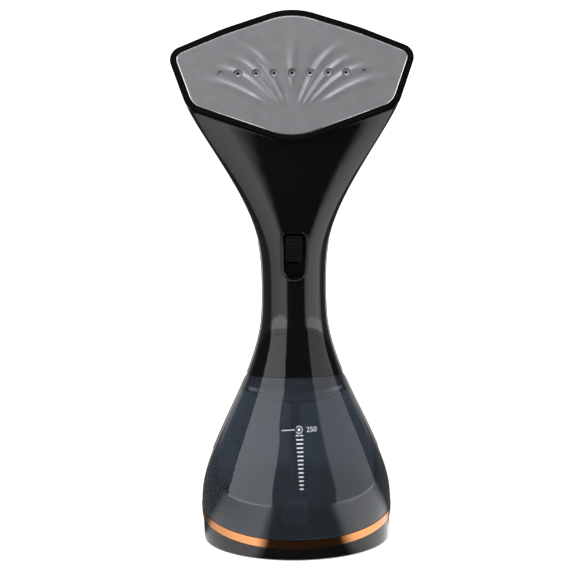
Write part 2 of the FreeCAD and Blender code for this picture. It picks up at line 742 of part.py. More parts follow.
def shells():
    outside = grip_loft(0)
    cavity = grip_loft(dim("shell_wall"), 1.0)
    limits = slab(seam(dim("fit_gap") / 2), TOP)
    casing = outside.cut(cavity)

    for height in mount_heights():
        rib = cavity.common(slab((height, 0), (height + dim("mount_width"), 0)))
        hole = bar(dim("mount_radius") + dim("screw_fit"), Vector(0, 0, 0), Vector(0, 0, FAR))
        casing = casing.fuse(rib.cut(hole))

    for across, height, seat in screw_axes():
        start = Vector(across, -FAR, height)
        boss = bar(dim("screw_radius") + dim("screw_clear") + dim("boss_wall"), start,
                   start + Vector(0, 2 * FAR, 0))
        casing = casing.fuse(boss.common(outside))
    casing = casing.common(limits)

    trims = [trim_strip(side, grip_loft, slab(seam(dim("trim_seam_gap")), (dim("trim_top"), 0)))
             for side in (-1, 1)]
    for trim in trims:
        casing = casing.cut(trim)
    solid_node("handle_trim_left", trims[0])
    solid_node("handle_trim_right", trims[1])

    half = front_half()
    front = casing.common(half)
    rear = casing.cut(half)
    for across, height, seat in screw_axes():
        split = split_at(height)
        back = Vector(across, seat, height)
        pilot_end = Vector(across, split - dim("screw_reach") - 1, height)
        front = front.cut(bar(dim("screw_radius") + dim("screw_fit"), pilot_end,
                              Vector(across, split + 2, height)))
        rear = rear.cut(bar(dim("screw_radius") + dim("screw_clear"),
                            Vector(across, split - 2, height), back))
        rear = rear.cut(bar(dim("screw_head_radius") + dim("screw_clear"), back,
                            Vector(across, FAR, height)))

    opening = Part.Face(frame_outline(dim("fit_gap"))).extrude(Vector(0, 0, 20))
    opening.translate(Vector(0, 0, -12))
    opening.Placement = switch_frame_place().multiply(opening.Placement)
    front = front.cut(opening)

    inlet = Vector(0, 5, dim("inlet_centre"))
    rear = rear.cut(bar(dim("inlet_outer_radius") + dim("fit_gap"), inlet, inlet + Vector(0, FAR, 0)))
    solid_node("front_shell", largest(front))
    solid_node("rear_shell", largest(rear))


def largest(shape):
    """The main solid, without slivers that the cuts leave."""
    return max(shape.Solids, key=lambda solid: solid.Volume)


def shell_screws():
    screws = []
    for across, height, seat in screw_axes():
        tip = Vector(across, split_at(height) - dim("screw_reach"), height)
        seat_point = Vector(across, seat, height)
        head_top = seat_point + Vector(0, dim("screw_head_height"), 0)
        screw = bar(dim("screw_radius"), tip, seat_point)
        screw = screw.fuse(bar(dim("screw_head_radius"), seat_point, head_top))
        slot = Part.makeBox(dim("cross_span"), 2 * dim("cross_depth"), dim("cross_width"))
        half_slot = Vector(dim("cross_span"), 2 * dim("cross_depth"), dim("cross_width")) / 2
        slot.translate(head_top - half_slot)
        cross = slot.copy()
        cross.rotate(head_top, Vector(0, 1, 0), 90)
        screws.append(screw.cut(slot.fuse(cross)))
    solid_node("shell_screws", Part.makeCompound(screws))


def mount_heights():
    """Lower faces of the two rubber rings round the pump."""
    low = dim("pump_base_height") + dim("mount_inset")
    high = dim("pump_base_height") + dim("pump_length") - dim("mount_inset") - dim("mount_width")
    return low, high


# --- Head ---------------------------------------------------------------------------------------

def head_bezel():
    depth = dim("bezel_depth")
    step = dim("bezel_step_depth")
    width = dim("bezel_width")
    bezel = plate_prism(width, -depth, -step).fuse(plate_prism(width - dim("bezel_step"), -step, 0))
    seat = dim("plate_proud") - dim("plate_thickness")
    bezel = bezel.cut(plate_prism(dim("plate_gap"), seat, 1))
    bezel = bezel.cut(plate_prism(-dim("bezel_ledge"), -depth - 1, 0))
    solid_node("head_bezel", bezel.removeSplitter(), head_frame())


def steam_plate():
    low = dim("plate_proud") - dim("plate_thickness")
    plate = plate_prism(0, low, dim("plate_proud"))
    rim = [edge for edge in plate.Edges if edge.BoundBox.ZMin > dim("plate_proud") - 0.01]
    plate = plate.makeChamfer(dim("plate_chamfer"), rim)
    face = dim("plate_proud")
    sink = face - dim("nozzle_sink_depth")
    for across in nozzle_places():
        middle = Vector(across, dim("nozzle_rise"), 0)
        top = middle + Vector(0, 0, face + 1)
        plate = plate.cut(bar(dim("nozzle_radius"), middle + Vector(0, 0, low - 1), top))
        plate = plate.cut(bar(dim("nozzle_sink_radius"), middle + Vector(0, 0, sink), top))
    end = (dim("nozzle_count") + 1) / 2 * dim("nozzle_pitch")
    for across in (-end, end):
        middle = Vector(across, dim("nozzle_rise"), sink)
        plate = plate.cut(bar(dim("dimple_radius"), middle, middle + Vector(0, 0, 2)))
    solid_node("steam_plate", plate, head_frame())


def nozzle_places():
    count = int(dim("nozzle_count"))
    return [(index - (count - 1) / 2) * dim("nozzle_pitch") for index in range(count)]


def heater_depths():
    """Depths of the gasket's, block's and cover's rear faces behind the bezel's face."""
    gasket = dim("plate_proud") - dim("plate_thickness") - dim("gasket_thickness")
    block = gasket - dim("block_depth")
    return gasket, block, block - dim("cover_thickness")


def heater_place(depth=0.0, across=0.0, up=0.0):
    """Placement on the heater block, at a depth behind the bezel's face."""
    shift = Vector(across, up - dim("block_drop"), depth)
    return head_frame().multiply(Placement(shift, Rotation()))


def plate_gasket():
    body = new_body("plate_gasket")
    outline = sketch_on(body, "XY_Plane", "gasket_outline")
    add_polygon(outline, box_corners("dims.block_width", "dims.block_height"))
    band = pad(body, outline, "dims.gasket_thickness", "gasket_band")
    round_corners(body, band, "dims.block_corner", "gasket_corners")
    middle = sketch_on(body, "XY_Plane", "gasket_window")
    add_polygon(middle, box_corners("dims.block_width - 2 * dims.gasket_band",
                                    "dims.block_height - 2 * dims.gasket_band"))
    pocket(body, middle, "dims.gasket_thickness", "gasket_opening", reverse=True)
    body.Placement = heater_place(heater_depths()[0])


def element_path():
    span = dim("element_half_span")
    depth = heater_depths()[1]
    return [Vector(-span, -dim("element_low"), depth), Vector(-span, dim("element_top"), depth),
            Vector(span, dim("element_top"), depth), Vector(span, -dim("element_low"), depth)]


def element_solid(extra=0.0):
    """The heating element with its two cold pins, grown by a gap."""
    path = element_path()
    radius = dim("element_radius") + extra
    tube = rounded_bar(path, radius, [dim("element_bend")] * 2)
    for end, inner in ((path[0], path[1]), (path[-1], path[-2])):
        foot = end + (inner - end).normalize() * radius
        pin = bar(dim("terminal_radius") + extra, foot, foot - Vector(0, 0, dim("terminal_length")))
        tube = tube.fuse(pin)
    return tube


def heater():
    gasket, block_low, cover_low = heater_depths()
    frame = heater_place()
    groove = element_solid(dim("element_gap"))

    corner = dim("block_corner")
    block = rounded_block(dim("block_width"), dim("block_height"), block_low, gasket, corner)
    chamber = rounded_block(dim("chamber_width"), dim("chamber_height"), block_low,
                            block_low + dim("chamber_depth"), dim("chamber_corner"))
    chamber.translate(Vector(0, -dim("chamber_drop"), 0))
    block = block.cut(chamber).cut(groove)
    cover = rounded_block(dim("block_width"), dim("block_height"), cover_low, block_low, corner)
    cover = cover.cut(groove)
    for across in nozzle_places():
        middle = Vector(across, dim("nozzle_rise") + dim("block_drop"), block_low)
        block = block.cut(bar(dim("nozzle_radius"), middle, middle + Vector(0, 0, FAR)))

    screws = []
    for across, up in heater_screw_places():
        seat = Vector(across, up, cover_low)
        tip = seat + Vector(0, 0, dim("heater_screw_length"))
        head = seat - Vector(0, 0, dim("screw_head_height"))
        shank = bar(dim("heater_screw_radius"), tip, seat)
        screws.append(shank.fuse(bar(dim("screw_head_radius"), seat, head)))
        block = block.cut(bar(dim("heater_screw_radius") + dim("screw_fit"), seat, tip))
        cover = cover.cut(bar(dim("heater_screw_radius") + dim("screw_clear"), seat, tip))

    inlet = Vector(0, -dim("inlet_drop"), cover_low)
    spigot_end = inlet - Vector(0, 0, dim("inlet_length"))
    cover = cover.fuse(bar(dim("inlet_radius"), inlet, spigot_end))
    cover = cover.cut(bar(dim("inlet_bore"), spigot_end, Vector(0, inlet.y, 0)))
    solid_node("heater_block", block, frame)
    solid_node("chamber_cover", cover, frame)
    solid_node("heating_element", element_solid(), frame)
    solid_node("heater_screws", Part.makeCompound(screws), frame)


def heater_screw_places():
    for side in (-1, 1):
        yield side * dim("heater_screw_offset"), dim("heater_screw_top")
        yield side * dim("heater_screw_offset"), -dim("heater_screw_low")


def rounded_block(width, height, low, high, corner):
    """A block centred on the heater's middle, with rounded corners."""
    block = Part.makeBox(width, height, high - low, Vector(-width / 2, -height / 2, low))
    upright = [edge for edge in block.Edges if abs(edge.tangentAt(edge.FirstParameter).z) > 0.9]
    return block.makeFillet(corner, upright)


def thermostat():
    outline = [
        ("0", "0"),
        ("dims.thermostat_radius", "0"),
        ("dims.thermostat_radius", "dims.thermostat_height * 0.4"),
        ("dims.thermostat_radius * 0.85", "dims.thermostat_height * 0.4"),
        ("dims.thermostat_radius * 0.85", "dims.thermostat_height"),
        ("0", "dims.thermostat_height"),
    ]
    place = heater_place(heater_depths()[2], dim("sensor_offset"), -dim("sensor_drop"))
    turned_body("thermostat", outline, place.multiply(Placement(Vector(), Rotation(Vector(1, 0, 0), 180))))


def thermal_fuse():
    fuse = doc.addObject("Part::Cylinder", "thermal_fuse")
    fuse.setExpression("Radius", "dims.fuse_radius")
    fuse.setExpression("Height", "dims.fuse_length")
    start = -dim("sensor_offset") - dim("fuse_length") / 2
    place = heater_place(heater_depths()[2] - dim("fuse_radius"), start, -dim("sensor_drop"))
    fuse.Placement = place.multiply(Placement(Vector(), Rotation(Vector(0, 1, 0), 90)))
    keep(fuse, "thermal_fuse")


# --- Water path ---------------------------------------------------------------------------------

def pump():
    radius = "dims.spigot_radius"
    bore = "dims.spigot_bore"
    body_top = "dims.spigot_length + dims.pump_length"
    outline = [
        (bore, "0"),
        (radius, "0"),
        (radius, "dims.spigot_length"),
        ("dims.pump_radius", "dims.spigot_length"),
        ("dims.pump_radius", body_top),
        (radius, body_top),
        (radius, body_top + " + dims.spigot_length"),
        (bore, body_top + " + dims.spigot_length"),
    ]
    base = dim("pump_base_height") - dim("spigot_length")
    turned_body("pump_body", outline, Placement(Vector(0, 0, base), Rotation()))

    rings = []
    for height in mount_heights():
        low = Vector(0, 0, height)
        high = Vector(0, 0, height + dim("mount_width"))
        inner = bar(dim("pump_radius") + dim("screw_fit"), low, high)
        rings.append(bar(dim("mount_radius"), low, high).cut(inner))
    solid_node("pump_mounts", Part.makeCompound(rings))


def hoses():
    plug_top = "dims.seam_height + dims.spigot_rise + dims.fit_gap"
    body = new_body("inlet_hose")
    ring = sketch_on(body, "XY_Plane", "inlet_hose_ring")
    add_circle(ring, "dims.hose_radius")
    add_circle(ring, "dims.hose_bore")
    pad(body, ring, f"dims.pump_base_height - dims.fit_gap - ({plug_top})", "inlet_hose_length")
    body.Placement = Placement(Vector(0, 0, sheet_value(plug_top)), Rotation())

    overlap = dim("hose_overlap")
    pump_top = dim("pump_base_height") + dim("pump_length") + dim("spigot_length")
    spigot = heater_place(heater_depths()[2] - dim("inlet_length"), 0, -dim("inlet_drop"))
    away = spigot.Rotation.multVec(Vector(0, 0, -1))
    target = spigot.Base - away * overlap
    behind = dim("hose_behind")
    points = [
        Vector(0, 0, pump_top - overlap),
        Vector(0, 0, pump_top + dim("hose_straight")),
        Vector(0, behind, pump_top + dim("hose_step")),
        Vector(0, behind, dim("flare_height") + dim("hose_turn")),
        target + away * dim("hose_run"),
        target,
    ]
    bends = [dim("hose_bend")] * 3 + [dim("hose_tight_bend")]
    tube = rounded_bar(points, dim("hose_radius"), bends)
    tube = tube.cut(rounded_bar(points, dim("hose_bore"), bends))
    solid_node("outlet_hose", tube)


def plug_and_tube():
    plug_top = (dim("seam_height") + dim("spigot_rise"), 0)
    gap = dim("fit_gap")
    upper = grip_loft(dim("shell_wall") + gap).common(slab(seam(gap / 2), plug_top))
    rise = dim("seam_height") - dim("plug_length")
    lower = oval_prism(dim("mouth_half_width") - dim("plug_gap"),
                       dim("mouth_half_depth") - dim("plug_gap"), rise, plug_top[0] - 1)
    lower = lower.common(slab((rise, 0), seam(gap)))
    plug = upper.fuse(lower)

    seal_low = rise + dim("seal_rise")
    seal_high = seal_low + dim("seal_height")
    outer_width = dim("mouth_half_width") - dim("seal_gap")
    outer_depth = dim("mouth_half_depth") - dim("seal_gap")
    inner_width = outer_width - dim("seal_depth")
    inner_depth = outer_depth - dim("seal_depth")
    band = oval_prism(outer_width, outer_depth, seal_low, seal_high)
    seal = band.cut(oval_prism(inner_width, inner_depth, seal_low, seal_high))
    plug = plug.cut(seal)

    tube_top = plug_top[0] - dim("plug_cap")
    tube_hole = bar(dim("tube_radius") + dim("tube_fit"), Vector(0, 0, rise - 1), Vector(0, 0, tube_top))
    spigot_low = Vector(0, 0, tube_top - 1)
    spigot_top = Vector(0, 0, plug_top[0] + dim("plug_spigot_length"))
    plug = plug.fuse(bar(dim("spigot_radius"), Vector(0, 0, plug_top[0] - OVERLAP), spigot_top))
    plug = plug.cut(tube_hole).cut(bar(dim("spigot_bore"), spigot_low, spigot_top))
    vent = Vector(dim("vent_offset"), 0, rise)
    vent_top = vent + Vector(0, 0, dim("vent_length"))
    plug = plug.cut(bar(dim("vent_radius") + dim("tube_fit"), vent - Vector(0, 0, 1), vent_top))
    plug = plug.cut(bar(dim("vent_bore"), vent, Vector(vent.x, 0, plug_top[0] + 1)))
    solid_node("tank_plug", largest(plug))
    solid_node("plug_seal", seal)
    valve = bar(dim("vent_radius"), vent, vent_top).cut(bar(dim("vent_bore"), vent, vent_top))
    solid_node("vent_valve", valve)

    tube_height = "dims.seam_height + dims.spigot_rise - dims.plug_cap - dims.tube_low"
    body = new_body("dip_tube")
    ring = sketch_on(body, "XY_Plane", "tube_ring")
    add_circle(ring, "dims.tube_radius")
    add_circle(ring, "dims.tube_bore")
    pad(body, ring, tube_height, "tube_length")
    body.Placement = Placement(Vector(0, 0, dim("tube_low")), Rotation())


def filter_weight():
    middle = Vector(0, 0, dim("filter_height"))
    back = middle + Vector(0, dim("filter_length") / 2, 0)
    front = middle - Vector(0, dim("filter_length") / 2, 0)
    weight = bar(dim("filter_radius"), front, back)
    ends = [edge for edge in weight.Edges if edge.Closed]
    weight = weight.makeFillet(dim("filter_edge"), ends)
    port_end = front + Vector(0, dim("filter_port_depth"), 0)
    weight = weight.cut(bar(dim("filter_port"), front - Vector(0, 1, 0), port_end))
    tube_low = Vector(0, 0, dim("tube_low"))
    weight = weight.cut(bar(dim("tube_radius") + dim("tube_fit"), tube_low, tube_low + Vector(0, 0, 20)))
    solid_node("filter_weight", weight)


# --- Switch, button and cord inlet --------------------------------------------------------------

def frame_outline(offset=0.0):
    """Outline of the switch frame: square-shouldered above, nearly a half round below."""
    half = dim("frame_width") / 2
    tall = dim("frame_height") / 2
    top = dim("frame_top_corner")
    low = dim("frame_low_corner")
    wire = rounded_outline([(half, tall, top), (half, -tall, low), (-half, -tall, low),
                            (-half, tall, top)])
    return wire.makeOffset2D(offset) if offset else wire


def frame_prism(offset, low, high):
    face = Part.Face(frame_outline(offset))
    face.translate(Vector(0, 0, low))
    prism = face.extrude(Vector(0, 0, high - low))
    prism.Placement = switch_frame_place()
    return prism


def switch_frame():
    floor = -dim("frame_floor_depth")
    frame = grip_loft(-dim("frame_proud")).common(frame_prism(0, floor - dim("frame_floor"), 8))
    frame = frame.cut(frame_prism(-dim("frame_rim"), floor, 10))
    gap = dim("slide_gap")
    slot_top = dim("knob_rise") + dim("stem_height") / 2 + gap
    slot_low = dim("knob_rise") - dim("knob_travel") - dim("stem_height") / 2 - gap
    slot = Part.makeBox(dim("stem_width") + 2 * gap, slot_top - slot_low, 10)
    slot.translate(Vector(-dim("stem_width") / 2 - gap, slot_low, floor - 5))
    slot.Placement = switch_frame_place().multiply(slot.Placement)
    solid_node("switch_frame", largest(frame.cut(slot)))


def switch_knob():
    body = new_body("switch_knob")
    face = sketch_on(body, "XY_Plane", "knob_outline")
    add_polygon(face, box_corners("dims.knob_width", "dims.knob_height"))
    block = pad(body, face, "dims.knob_thickness", "knob_block")
    round_corners(body, block, "dims.knob_corner", "knob_corners")
    rib_sketch = sketch_on(body, "XY_Plane", "knob_rib")
    low = "-(dims.rib_count - 1) / 2 * dims.rib_pitch"
    add_polygon(rib_sketch, box_corners("dims.knob_width - 2 * dims.rib_margin", "dims.rib_width", low))
    rib = pad(body, rib_sketch, "dims.knob_thickness + dims.rib_height", "knob_rib_pad")
    ribs = body.newObject("PartDesign::LinearPattern", "knob_ribs")
    ribs.Originals = [rib]
    ribs.Direction = (rib_sketch, ["V_Axis"])
    ribs.setExpression("Length", "(dims.rib_count - 1) * dims.rib_pitch")
    ribs.Occurrences = int(dim("rib_count"))
    body.Tip = ribs
    doc.recompute()
    stem_sketch = sketch_on(body, "XY_Plane", "knob_stem")
    add_polygon(stem_sketch, box_corners("dims.stem_width", "dims.stem_height"))
    stem = pad(body, stem_sketch, "dims.stem_length", "knob_stem_pad")
    stem.Reversed = True
    middle = Placement(Vector(0, dim("knob_rise"), -dim("frame_floor_depth") + dim("screw_fit")),
                       Rotation())
    body.Placement = switch_frame_place().multiply(middle)


def switch_body():
    body = new_body("switch_body")
    face = sketch_on(body, "XY_Plane", "switch_outline")
    add_polygon(face, box_corners("dims.switch_width", "dims.switch_body_height"))
    pad(body, face, "dims.switch_depth", "switch_case")
    channel = sketch_on(body, "XZ_Plane", "switch_channel")
    wide = "dims.stem_width / 2 + dims.slide_gap"
    deep = "dims.switch_depth - dims.stem_length - dims.slide_gap"
    add_polygon(channel, [(f"-({wide})", deep), (wide, deep), (wide, "dims.switch_depth + 1"),
                          (f"-({wide})", "dims.switch_depth + 1")])
    cut = body.newObject("PartDesign::Pocket", "switch_slot")
    cut.Profile = channel
    cut.Type = 1
    cut.Midplane = True
    body.Tip = cut
    doc.recompute()
    back = -dim("frame_floor_depth") - dim("frame_floor") - dim("screw_fit") - dim("switch_depth")
    body.Placement = switch_frame_place().multiply(Placement(Vector(0, 0, back), Rotation()))


def cord_inlet():
    neck = "dims.bush_neck_length"
    whole = "dims.bush_neck_length + dims.bush_collar_length"
    outline = [
        ("dims.cord_bore", "0"),
        ("dims.inlet_outer_radius", "0"),
        ("dims.inlet_outer_radius", neck),
        ("dims.bush_collar_radius", neck),
        ("dims.bush_collar_radius", whole),
        ("dims.cord_bore", whole),
    ]
    start = dim("bush_back") - dim("bush_neck_length") - dim("bush_collar_length")
    place = Placement(Vector(0, start, dim("inlet_centre")), Rotation(Vector(1, 0, 0), -90))
    turned_body("cord_inlet", outline, place)


# --- Build, check and write ---------------------------------------------------------------------

def build():
    tank_and_base()
    shells()
    shell_screws()
    head_bezel()
    steam_plate()
    plate_gasket()
    heater()
    thermostat()
    thermal_fuse()
    pump()
    hoses()
    plug_and_tube()
    filter_weight()
    switch_frame()
    switch_knob()
    switch_body()
    cord_inlet()
    doc.recompute()


def check():
    for item in doc.Objects:
        if "Invalid" in item.State or "Error" in item.State:
            raise RuntimeError(f"{item.Label} failed: {item.State}")
    for item in NODES:
        if item.Shape.isNull() or not item.Shape.isValid() or not item.Shape.Solids:
            raise RuntimeError(f"{item.Label} has no valid solid")


def write():
    os.makedirs("parts", exist_ok=True)
    for item in NODES:
        item.Shape.exportStep(f"parts/{item.Label}.step")
        box = item.Shape.BoundBox
        print(f"{item.Label:20s} solids {len(item.Shape.Solids)} volume {item.Shape.Volume:10.1f} "
              f"x {box.XMin:.1f}..{box.XMax:.1f} y {box.YMin:.1f}..{box.YMax:.1f} "
              f"z {box.ZMin:.1f}..{box.ZMax:.1f}")


build()
check()
write()
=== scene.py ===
"""Looks for a hand-held garment steamer: finishes, fluted soleplate, switch bead, scale, studio."""

import math

import bmesh
import bpy
from bpy.props import (
    FloatProperty,
    FloatVectorProperty,
    IntProperty,
    PointerProperty,
    StringProperty,
)
from mathutils import Matrix, Vector
from mathutils.bvhtree import BVHTree


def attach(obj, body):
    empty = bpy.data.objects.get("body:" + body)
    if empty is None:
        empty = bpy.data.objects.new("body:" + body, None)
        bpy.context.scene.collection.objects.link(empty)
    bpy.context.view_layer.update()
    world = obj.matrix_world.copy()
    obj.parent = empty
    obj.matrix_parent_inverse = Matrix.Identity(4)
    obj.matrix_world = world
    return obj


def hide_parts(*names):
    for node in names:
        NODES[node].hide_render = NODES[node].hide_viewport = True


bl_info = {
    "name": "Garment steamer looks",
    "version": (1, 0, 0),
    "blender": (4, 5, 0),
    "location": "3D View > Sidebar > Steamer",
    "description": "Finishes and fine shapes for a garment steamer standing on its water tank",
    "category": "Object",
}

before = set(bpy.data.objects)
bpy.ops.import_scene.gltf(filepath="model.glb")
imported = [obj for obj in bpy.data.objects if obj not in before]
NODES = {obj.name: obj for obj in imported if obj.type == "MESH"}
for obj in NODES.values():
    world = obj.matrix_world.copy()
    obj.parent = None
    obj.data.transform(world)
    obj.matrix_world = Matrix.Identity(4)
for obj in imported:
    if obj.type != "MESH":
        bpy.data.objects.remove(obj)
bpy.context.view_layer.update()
MM = 0.001


# --- Colour and node helpers ----------------------------------------------------------------------

def linear(text):
    """A colour written as an sRGB hex value, as linear numbers."""
    channels = [int(text[at:at + 2], 16) / 255 for at in (1, 3, 5)]
    return tuple(c / 12.92 if c <= 0.04045 else ((c + 0.055) / 1.055) ** 2.4 for c in channels)


def add_node(tree, kind, inputs=None, **settings):
    """Add a node; an input is a value, or a node and the name of its output."""
    node = tree.nodes.new(kind)
    for name, value in settings.items():
        setattr(node, name, value)
    for name, value in (inputs or {}).items():
        if isinstance(value, tuple) and isinstance(value[0], bpy.types.Node):
            tree.links.new(value[0].outputs[value[1]], node.inputs[name])
        else:
            node.inputs[name].default_value = value
    return node


def new_material(name):
    """An empty node material and its tree."""
    material = bpy.data.materials.new(name)
    material.use_nodes = True
    material.node_tree.nodes.clear()
    return material, material.node_tree


def finish_material(tree, shader):
    """Join the last shader to the material's output."""
    output = add_node(tree, "ShaderNodeOutputMaterial")
    tree.links.new(shader.outputs[0], output.inputs["Surface"])


def deepen(colour, share=0.86):
    """The darker end of a finish's colour."""
    return tuple(channel * share for channel in colour)


PATCH_GRAINS = 14           # a colour patch is this many grains across
MIDDLE_NOISE = (0.3, 0.7)   # noise stays mostly between these


def surface(name, colour, deeper, grain_mm, rough, bump, **constants):
    """A finish whose sheen and relief vary with a grain of a real size, and its colour in patches.

    rough is the lowest and highest roughness; bump is the height of the grain in millimetres.
    A colour is an sRGB hex value or three linear numbers.
    """
    colour, deeper = [linear(shade) if isinstance(shade, str) else tuple(shade)
                      for shade in (colour, deeper)]
    material, tree = new_material(name)
    place = add_node(tree, "ShaderNodeTexCoord")
    grain = add_node(tree, "ShaderNodeTexNoise",
                     {"Vector": (place, "Object"), "Scale": 1 / (grain_mm * MM), "Detail": 3.0})
    patches = add_node(tree, "ShaderNodeTexNoise",
                       {"Vector": (place, "Object"),
                        "Scale": 1 / (grain_mm * PATCH_GRAINS * MM), "Detail": 2.0})
    shade = add_node(tree, "ShaderNodeValToRGB", {"Fac": (patches, "Fac")})
    for stop, place_on_ramp, tone in zip(shade.color_ramp.elements, MIDDLE_NOISE,
                                         (deeper, colour)):
        stop.position = place_on_ramp
        stop.color = (*tone, 1)
    sheen = add_node(tree, "ShaderNodeMapRange",
                     {"Value": (grain, "Fac"), "From Min": MIDDLE_NOISE[0],
                      "From Max": MIDDLE_NOISE[1], "To Min": rough[0], "To Max": rough[1]})
    relief = add_node(tree, "ShaderNodeBump",
                      {"Height": (grain, "Fac"), "Distance": bump * MM, "Strength": 1.0})
    inputs = {"Base Color": (shade, "Color"), "Roughness": (sheen, "Result"),
              "Normal": (relief, "Normal")}
    inputs.update(constants)
    finish_material(tree, add_node(tree, "ShaderNodeBsdfPrincipled", inputs))
    return material


# --- Settings that a user would change ------------------------------------------------------------

def colour_setting(name, text, about):
    """A colour that a user would change; its default is an sRGB hex value."""
    return FloatVectorProperty(name=name, description=about, subtype="COLOR", size=3, min=0.0,
                               max=1.0, default=linear(text))


def length_setting(name, millimetres, about):
    """A length that a user would change; its default is in millimetres."""
    return FloatProperty(name=name, description=about, default=millimetres * MM, min=0.0,
                         subtype="DISTANCE", unit="LENGTH", precision=5)


class SteamerPlateSettings(bpy.types.PropertyGroup):
    """The soleplate's relief."""
    flute_height: length_setting("Flute height", 0.72, "Crest of a flute above the soleplate")
    flute_width: length_setting("Flute width", 1.3, "Half width of a flute near the fan's root")
    root_drop: length_setting("Fan root", 22.0, "Root of the fan below the soleplate's middle")
    coat_grain: length_setting("Coating grain", 0.35, "Grain of the sprayed coating")


class SteamerScaleSettings(bpy.types.PropertyGroup):
    """The level scale printed on the tank."""
    top: length_setting("Top mark", 66.5, "Height of the full mark")
    first: length_setting("First bar", 63.7, "Height of the first bar under it")
    last: length_setting("Last bar", 37.9, "Height of the last bar")
    bars: IntProperty(name="Bars", description="Bars on the level scale", default=14, min=2, max=40)
    thickness: length_setting("Bar thickness", 0.66, "Thickness of a bar")
    figure: StringProperty(name="Figure", description="Volume at the full mark", default="250")


class SteamerColourSettings(bpy.types.PropertyGroup):
    """Colours of the finishes."""
    tank: colour_setting("Tank", "#66707C", "Tint of the smoked tank")
    trim: colour_setting("Trim", "#E59C68", "Metallised trim")
    scale: colour_setting("Scale", "#C3C7CB", "Ink of the level scale")


def settings(name):
    """A group of the scene's own settings."""
    return getattr(bpy.context.scene, name)


# --- Mesh helpers ---------------------------------------------------------------------------------

PART_SHARP = 32             # carried-over parts: edges sharper than this stay crisp, in degrees
BEVEL_SHARP = 40            # edges sharper than this are broken, in degrees
BEVEL_STEPS = 3


def mesh_object(name, mesh, material):
    """Put a mesh in the scene under a name, with its first material."""
    piece = bpy.data.objects.new(name, mesh)
    bpy.context.scene.collection.objects.link(piece)
    mesh.materials.append(material)
    return piece


def smooth(mesh, degrees):
    """Shade a mesh smoothly, and keep edges sharper than an angle crisp."""
    mesh.shade_smooth()
    mesh.set_sharp_from_angle(angle=math.radians(degrees))


def give(material, *names, bevel_mm=0.0):
    """Put a finish on carried-over parts, and break their sharp edges."""
    for name in names:
        part = NODES[name]
        if part.material_slots:
            for slot in part.material_slots:
                slot.material = material
        else:
            part.data.materials.append(material)
        smooth(part.data, PART_SHARP)
        if bevel_mm:
            edge = part.modifiers.new("edge_break", "BEVEL")
            edge.width = bevel_mm * MM
            edge.segments = BEVEL_STEPS
            edge.limit_method = "ANGLE"
            edge.angle_limit = math.radians(BEVEL_SHARP)
            edge.harden_normals = True


PLATE_LOW_EDGE = 30.6 * MM      # soleplate's middle above its lower edge
FACES_FORWARDS = -0.85          # a face whose normal's Y is under this is the soleplate's front
HULL_DIGITS = 6                 # outline corners are taken to a micrometre
PARALLEL = 1e-12                # a ray this near to a side's direction doesn't meet it
SIDE_SLACK = 1e-9               # a side is met this far past its ends, as a share of it


class PlateFrame:
    """The soleplate's own axes, read from its carried-over part: X across, Y up, Z out of it."""

    def __init__(self):
        """Find the face's direction, its middle and the outline round it."""
        mesh = NODES["steam_plate"].data
        facing = [face for face in mesh.polygons if face.normal.y < FACES_FORWARDS]
        outwards = sum((face.normal * face.area for face in facing), Vector()).normalized()
        across = Vector((1, 0, 0))
        self.turn = Matrix((across, outwards.cross(across), outwards)).transposed()
        local = [self.turn.inverted() @ vertex.co for vertex in mesh.vertices]
        low = min(point.y for point in local)
        self.middle = Vector((0, low + PLATE_LOW_EDGE, max(point.z for point in local)))
        self.outline = convex_outline([(point.x, point.y - self.middle.y) for point in local])

    def reach(self, angle):
        """Distance from the middle to the outline in a direction."""
        ray = Vector((math.cos(angle), math.sin(angle)))
        count = len(self.outline)
        for index in range(count):
            start, end = self.outline[index], self.outline[(index + 1) % count]
            side = end - start
            under = ray.x * side.y - ray.y * side.x
            if abs(under) < PARALLEL:
                continue
            far = (start.x * side.y - start.y * side.x) / under
            along = (start.x * ray.y - start.y * ray.x) / under
            if far > 0 and -SIDE_SLACK <= along <= 1 + SIDE_SLACK:
                return far
        raise RuntimeError("the soleplate's outline is open")


def convex_outline(points):
    """The corners of the smallest convex outline round flat points, in order."""
    ordered = sorted({(round(x, HULL_DIGITS), round(y, HULL_DIGITS)) for x, y in points})

    def half(sequence):
        kept = []
        for corner in sequence:
            while len(kept) > 1 and turns_right(kept[-2], kept[-1], corner):
                kept.pop()
            kept.append(corner)
        return kept[:-1]

    return [Vector(corner) for corner in half(ordered) + half(ordered[::-1])]


def turns_right(a, b, c):
    """Whether the way from a by b to c doesn't turn left."""
    return (b[0] - a[0]) * (c[1] - a[1]) - (b[1] - a[1]) * (c[0] - a[0]) <= 0


# --- Finishes -------------------------------------------------------------------------------------

def gloss_abs():
    """ABS from a mirror-polished mould: deep black, sharp reflections a little rippled."""
    return surface("gloss_moulded_abs", "#0C0C0D", "#080809", 9.0, (0.045, 0.075), 0.004,
                   IOR=1.53)


def satin_abs():
    """ABS from a lightly etched mould: the grip pad scatters its highlights."""
    return surface("satin_moulded_abs", "#0F0F10", "#0A0A0B", 0.4, (0.24, 0.34), 0.02, IOR=1.53)


def rubber():
    """Moulded TPE rubber: matt, faintly dusty."""
    return surface("moulded_rubber", "#1B1B1C", "#131314", 0.6, (0.62, 0.8), 0.03, IOR=1.5)


def silicone():
    """Moulded silicone: milky and soft, light goes a little way in."""
    return surface("moulded_silicone", "#D6D4CE", "#C4C2BB", 2.0, (0.38, 0.5), 0.01,
                   **{"IOR": 1.43, "Subsurface Weight": 0.2, "Subsurface Scale": 0.002})


def cast_aluminium():
    """Die-cast aluminium: bright grey skin with flow marks."""
    return surface("die_cast_aluminium", "#B9BABD", "#A4A5A8", 0.8, (0.36, 0.52), 0.03,
                   Metallic=1.0)


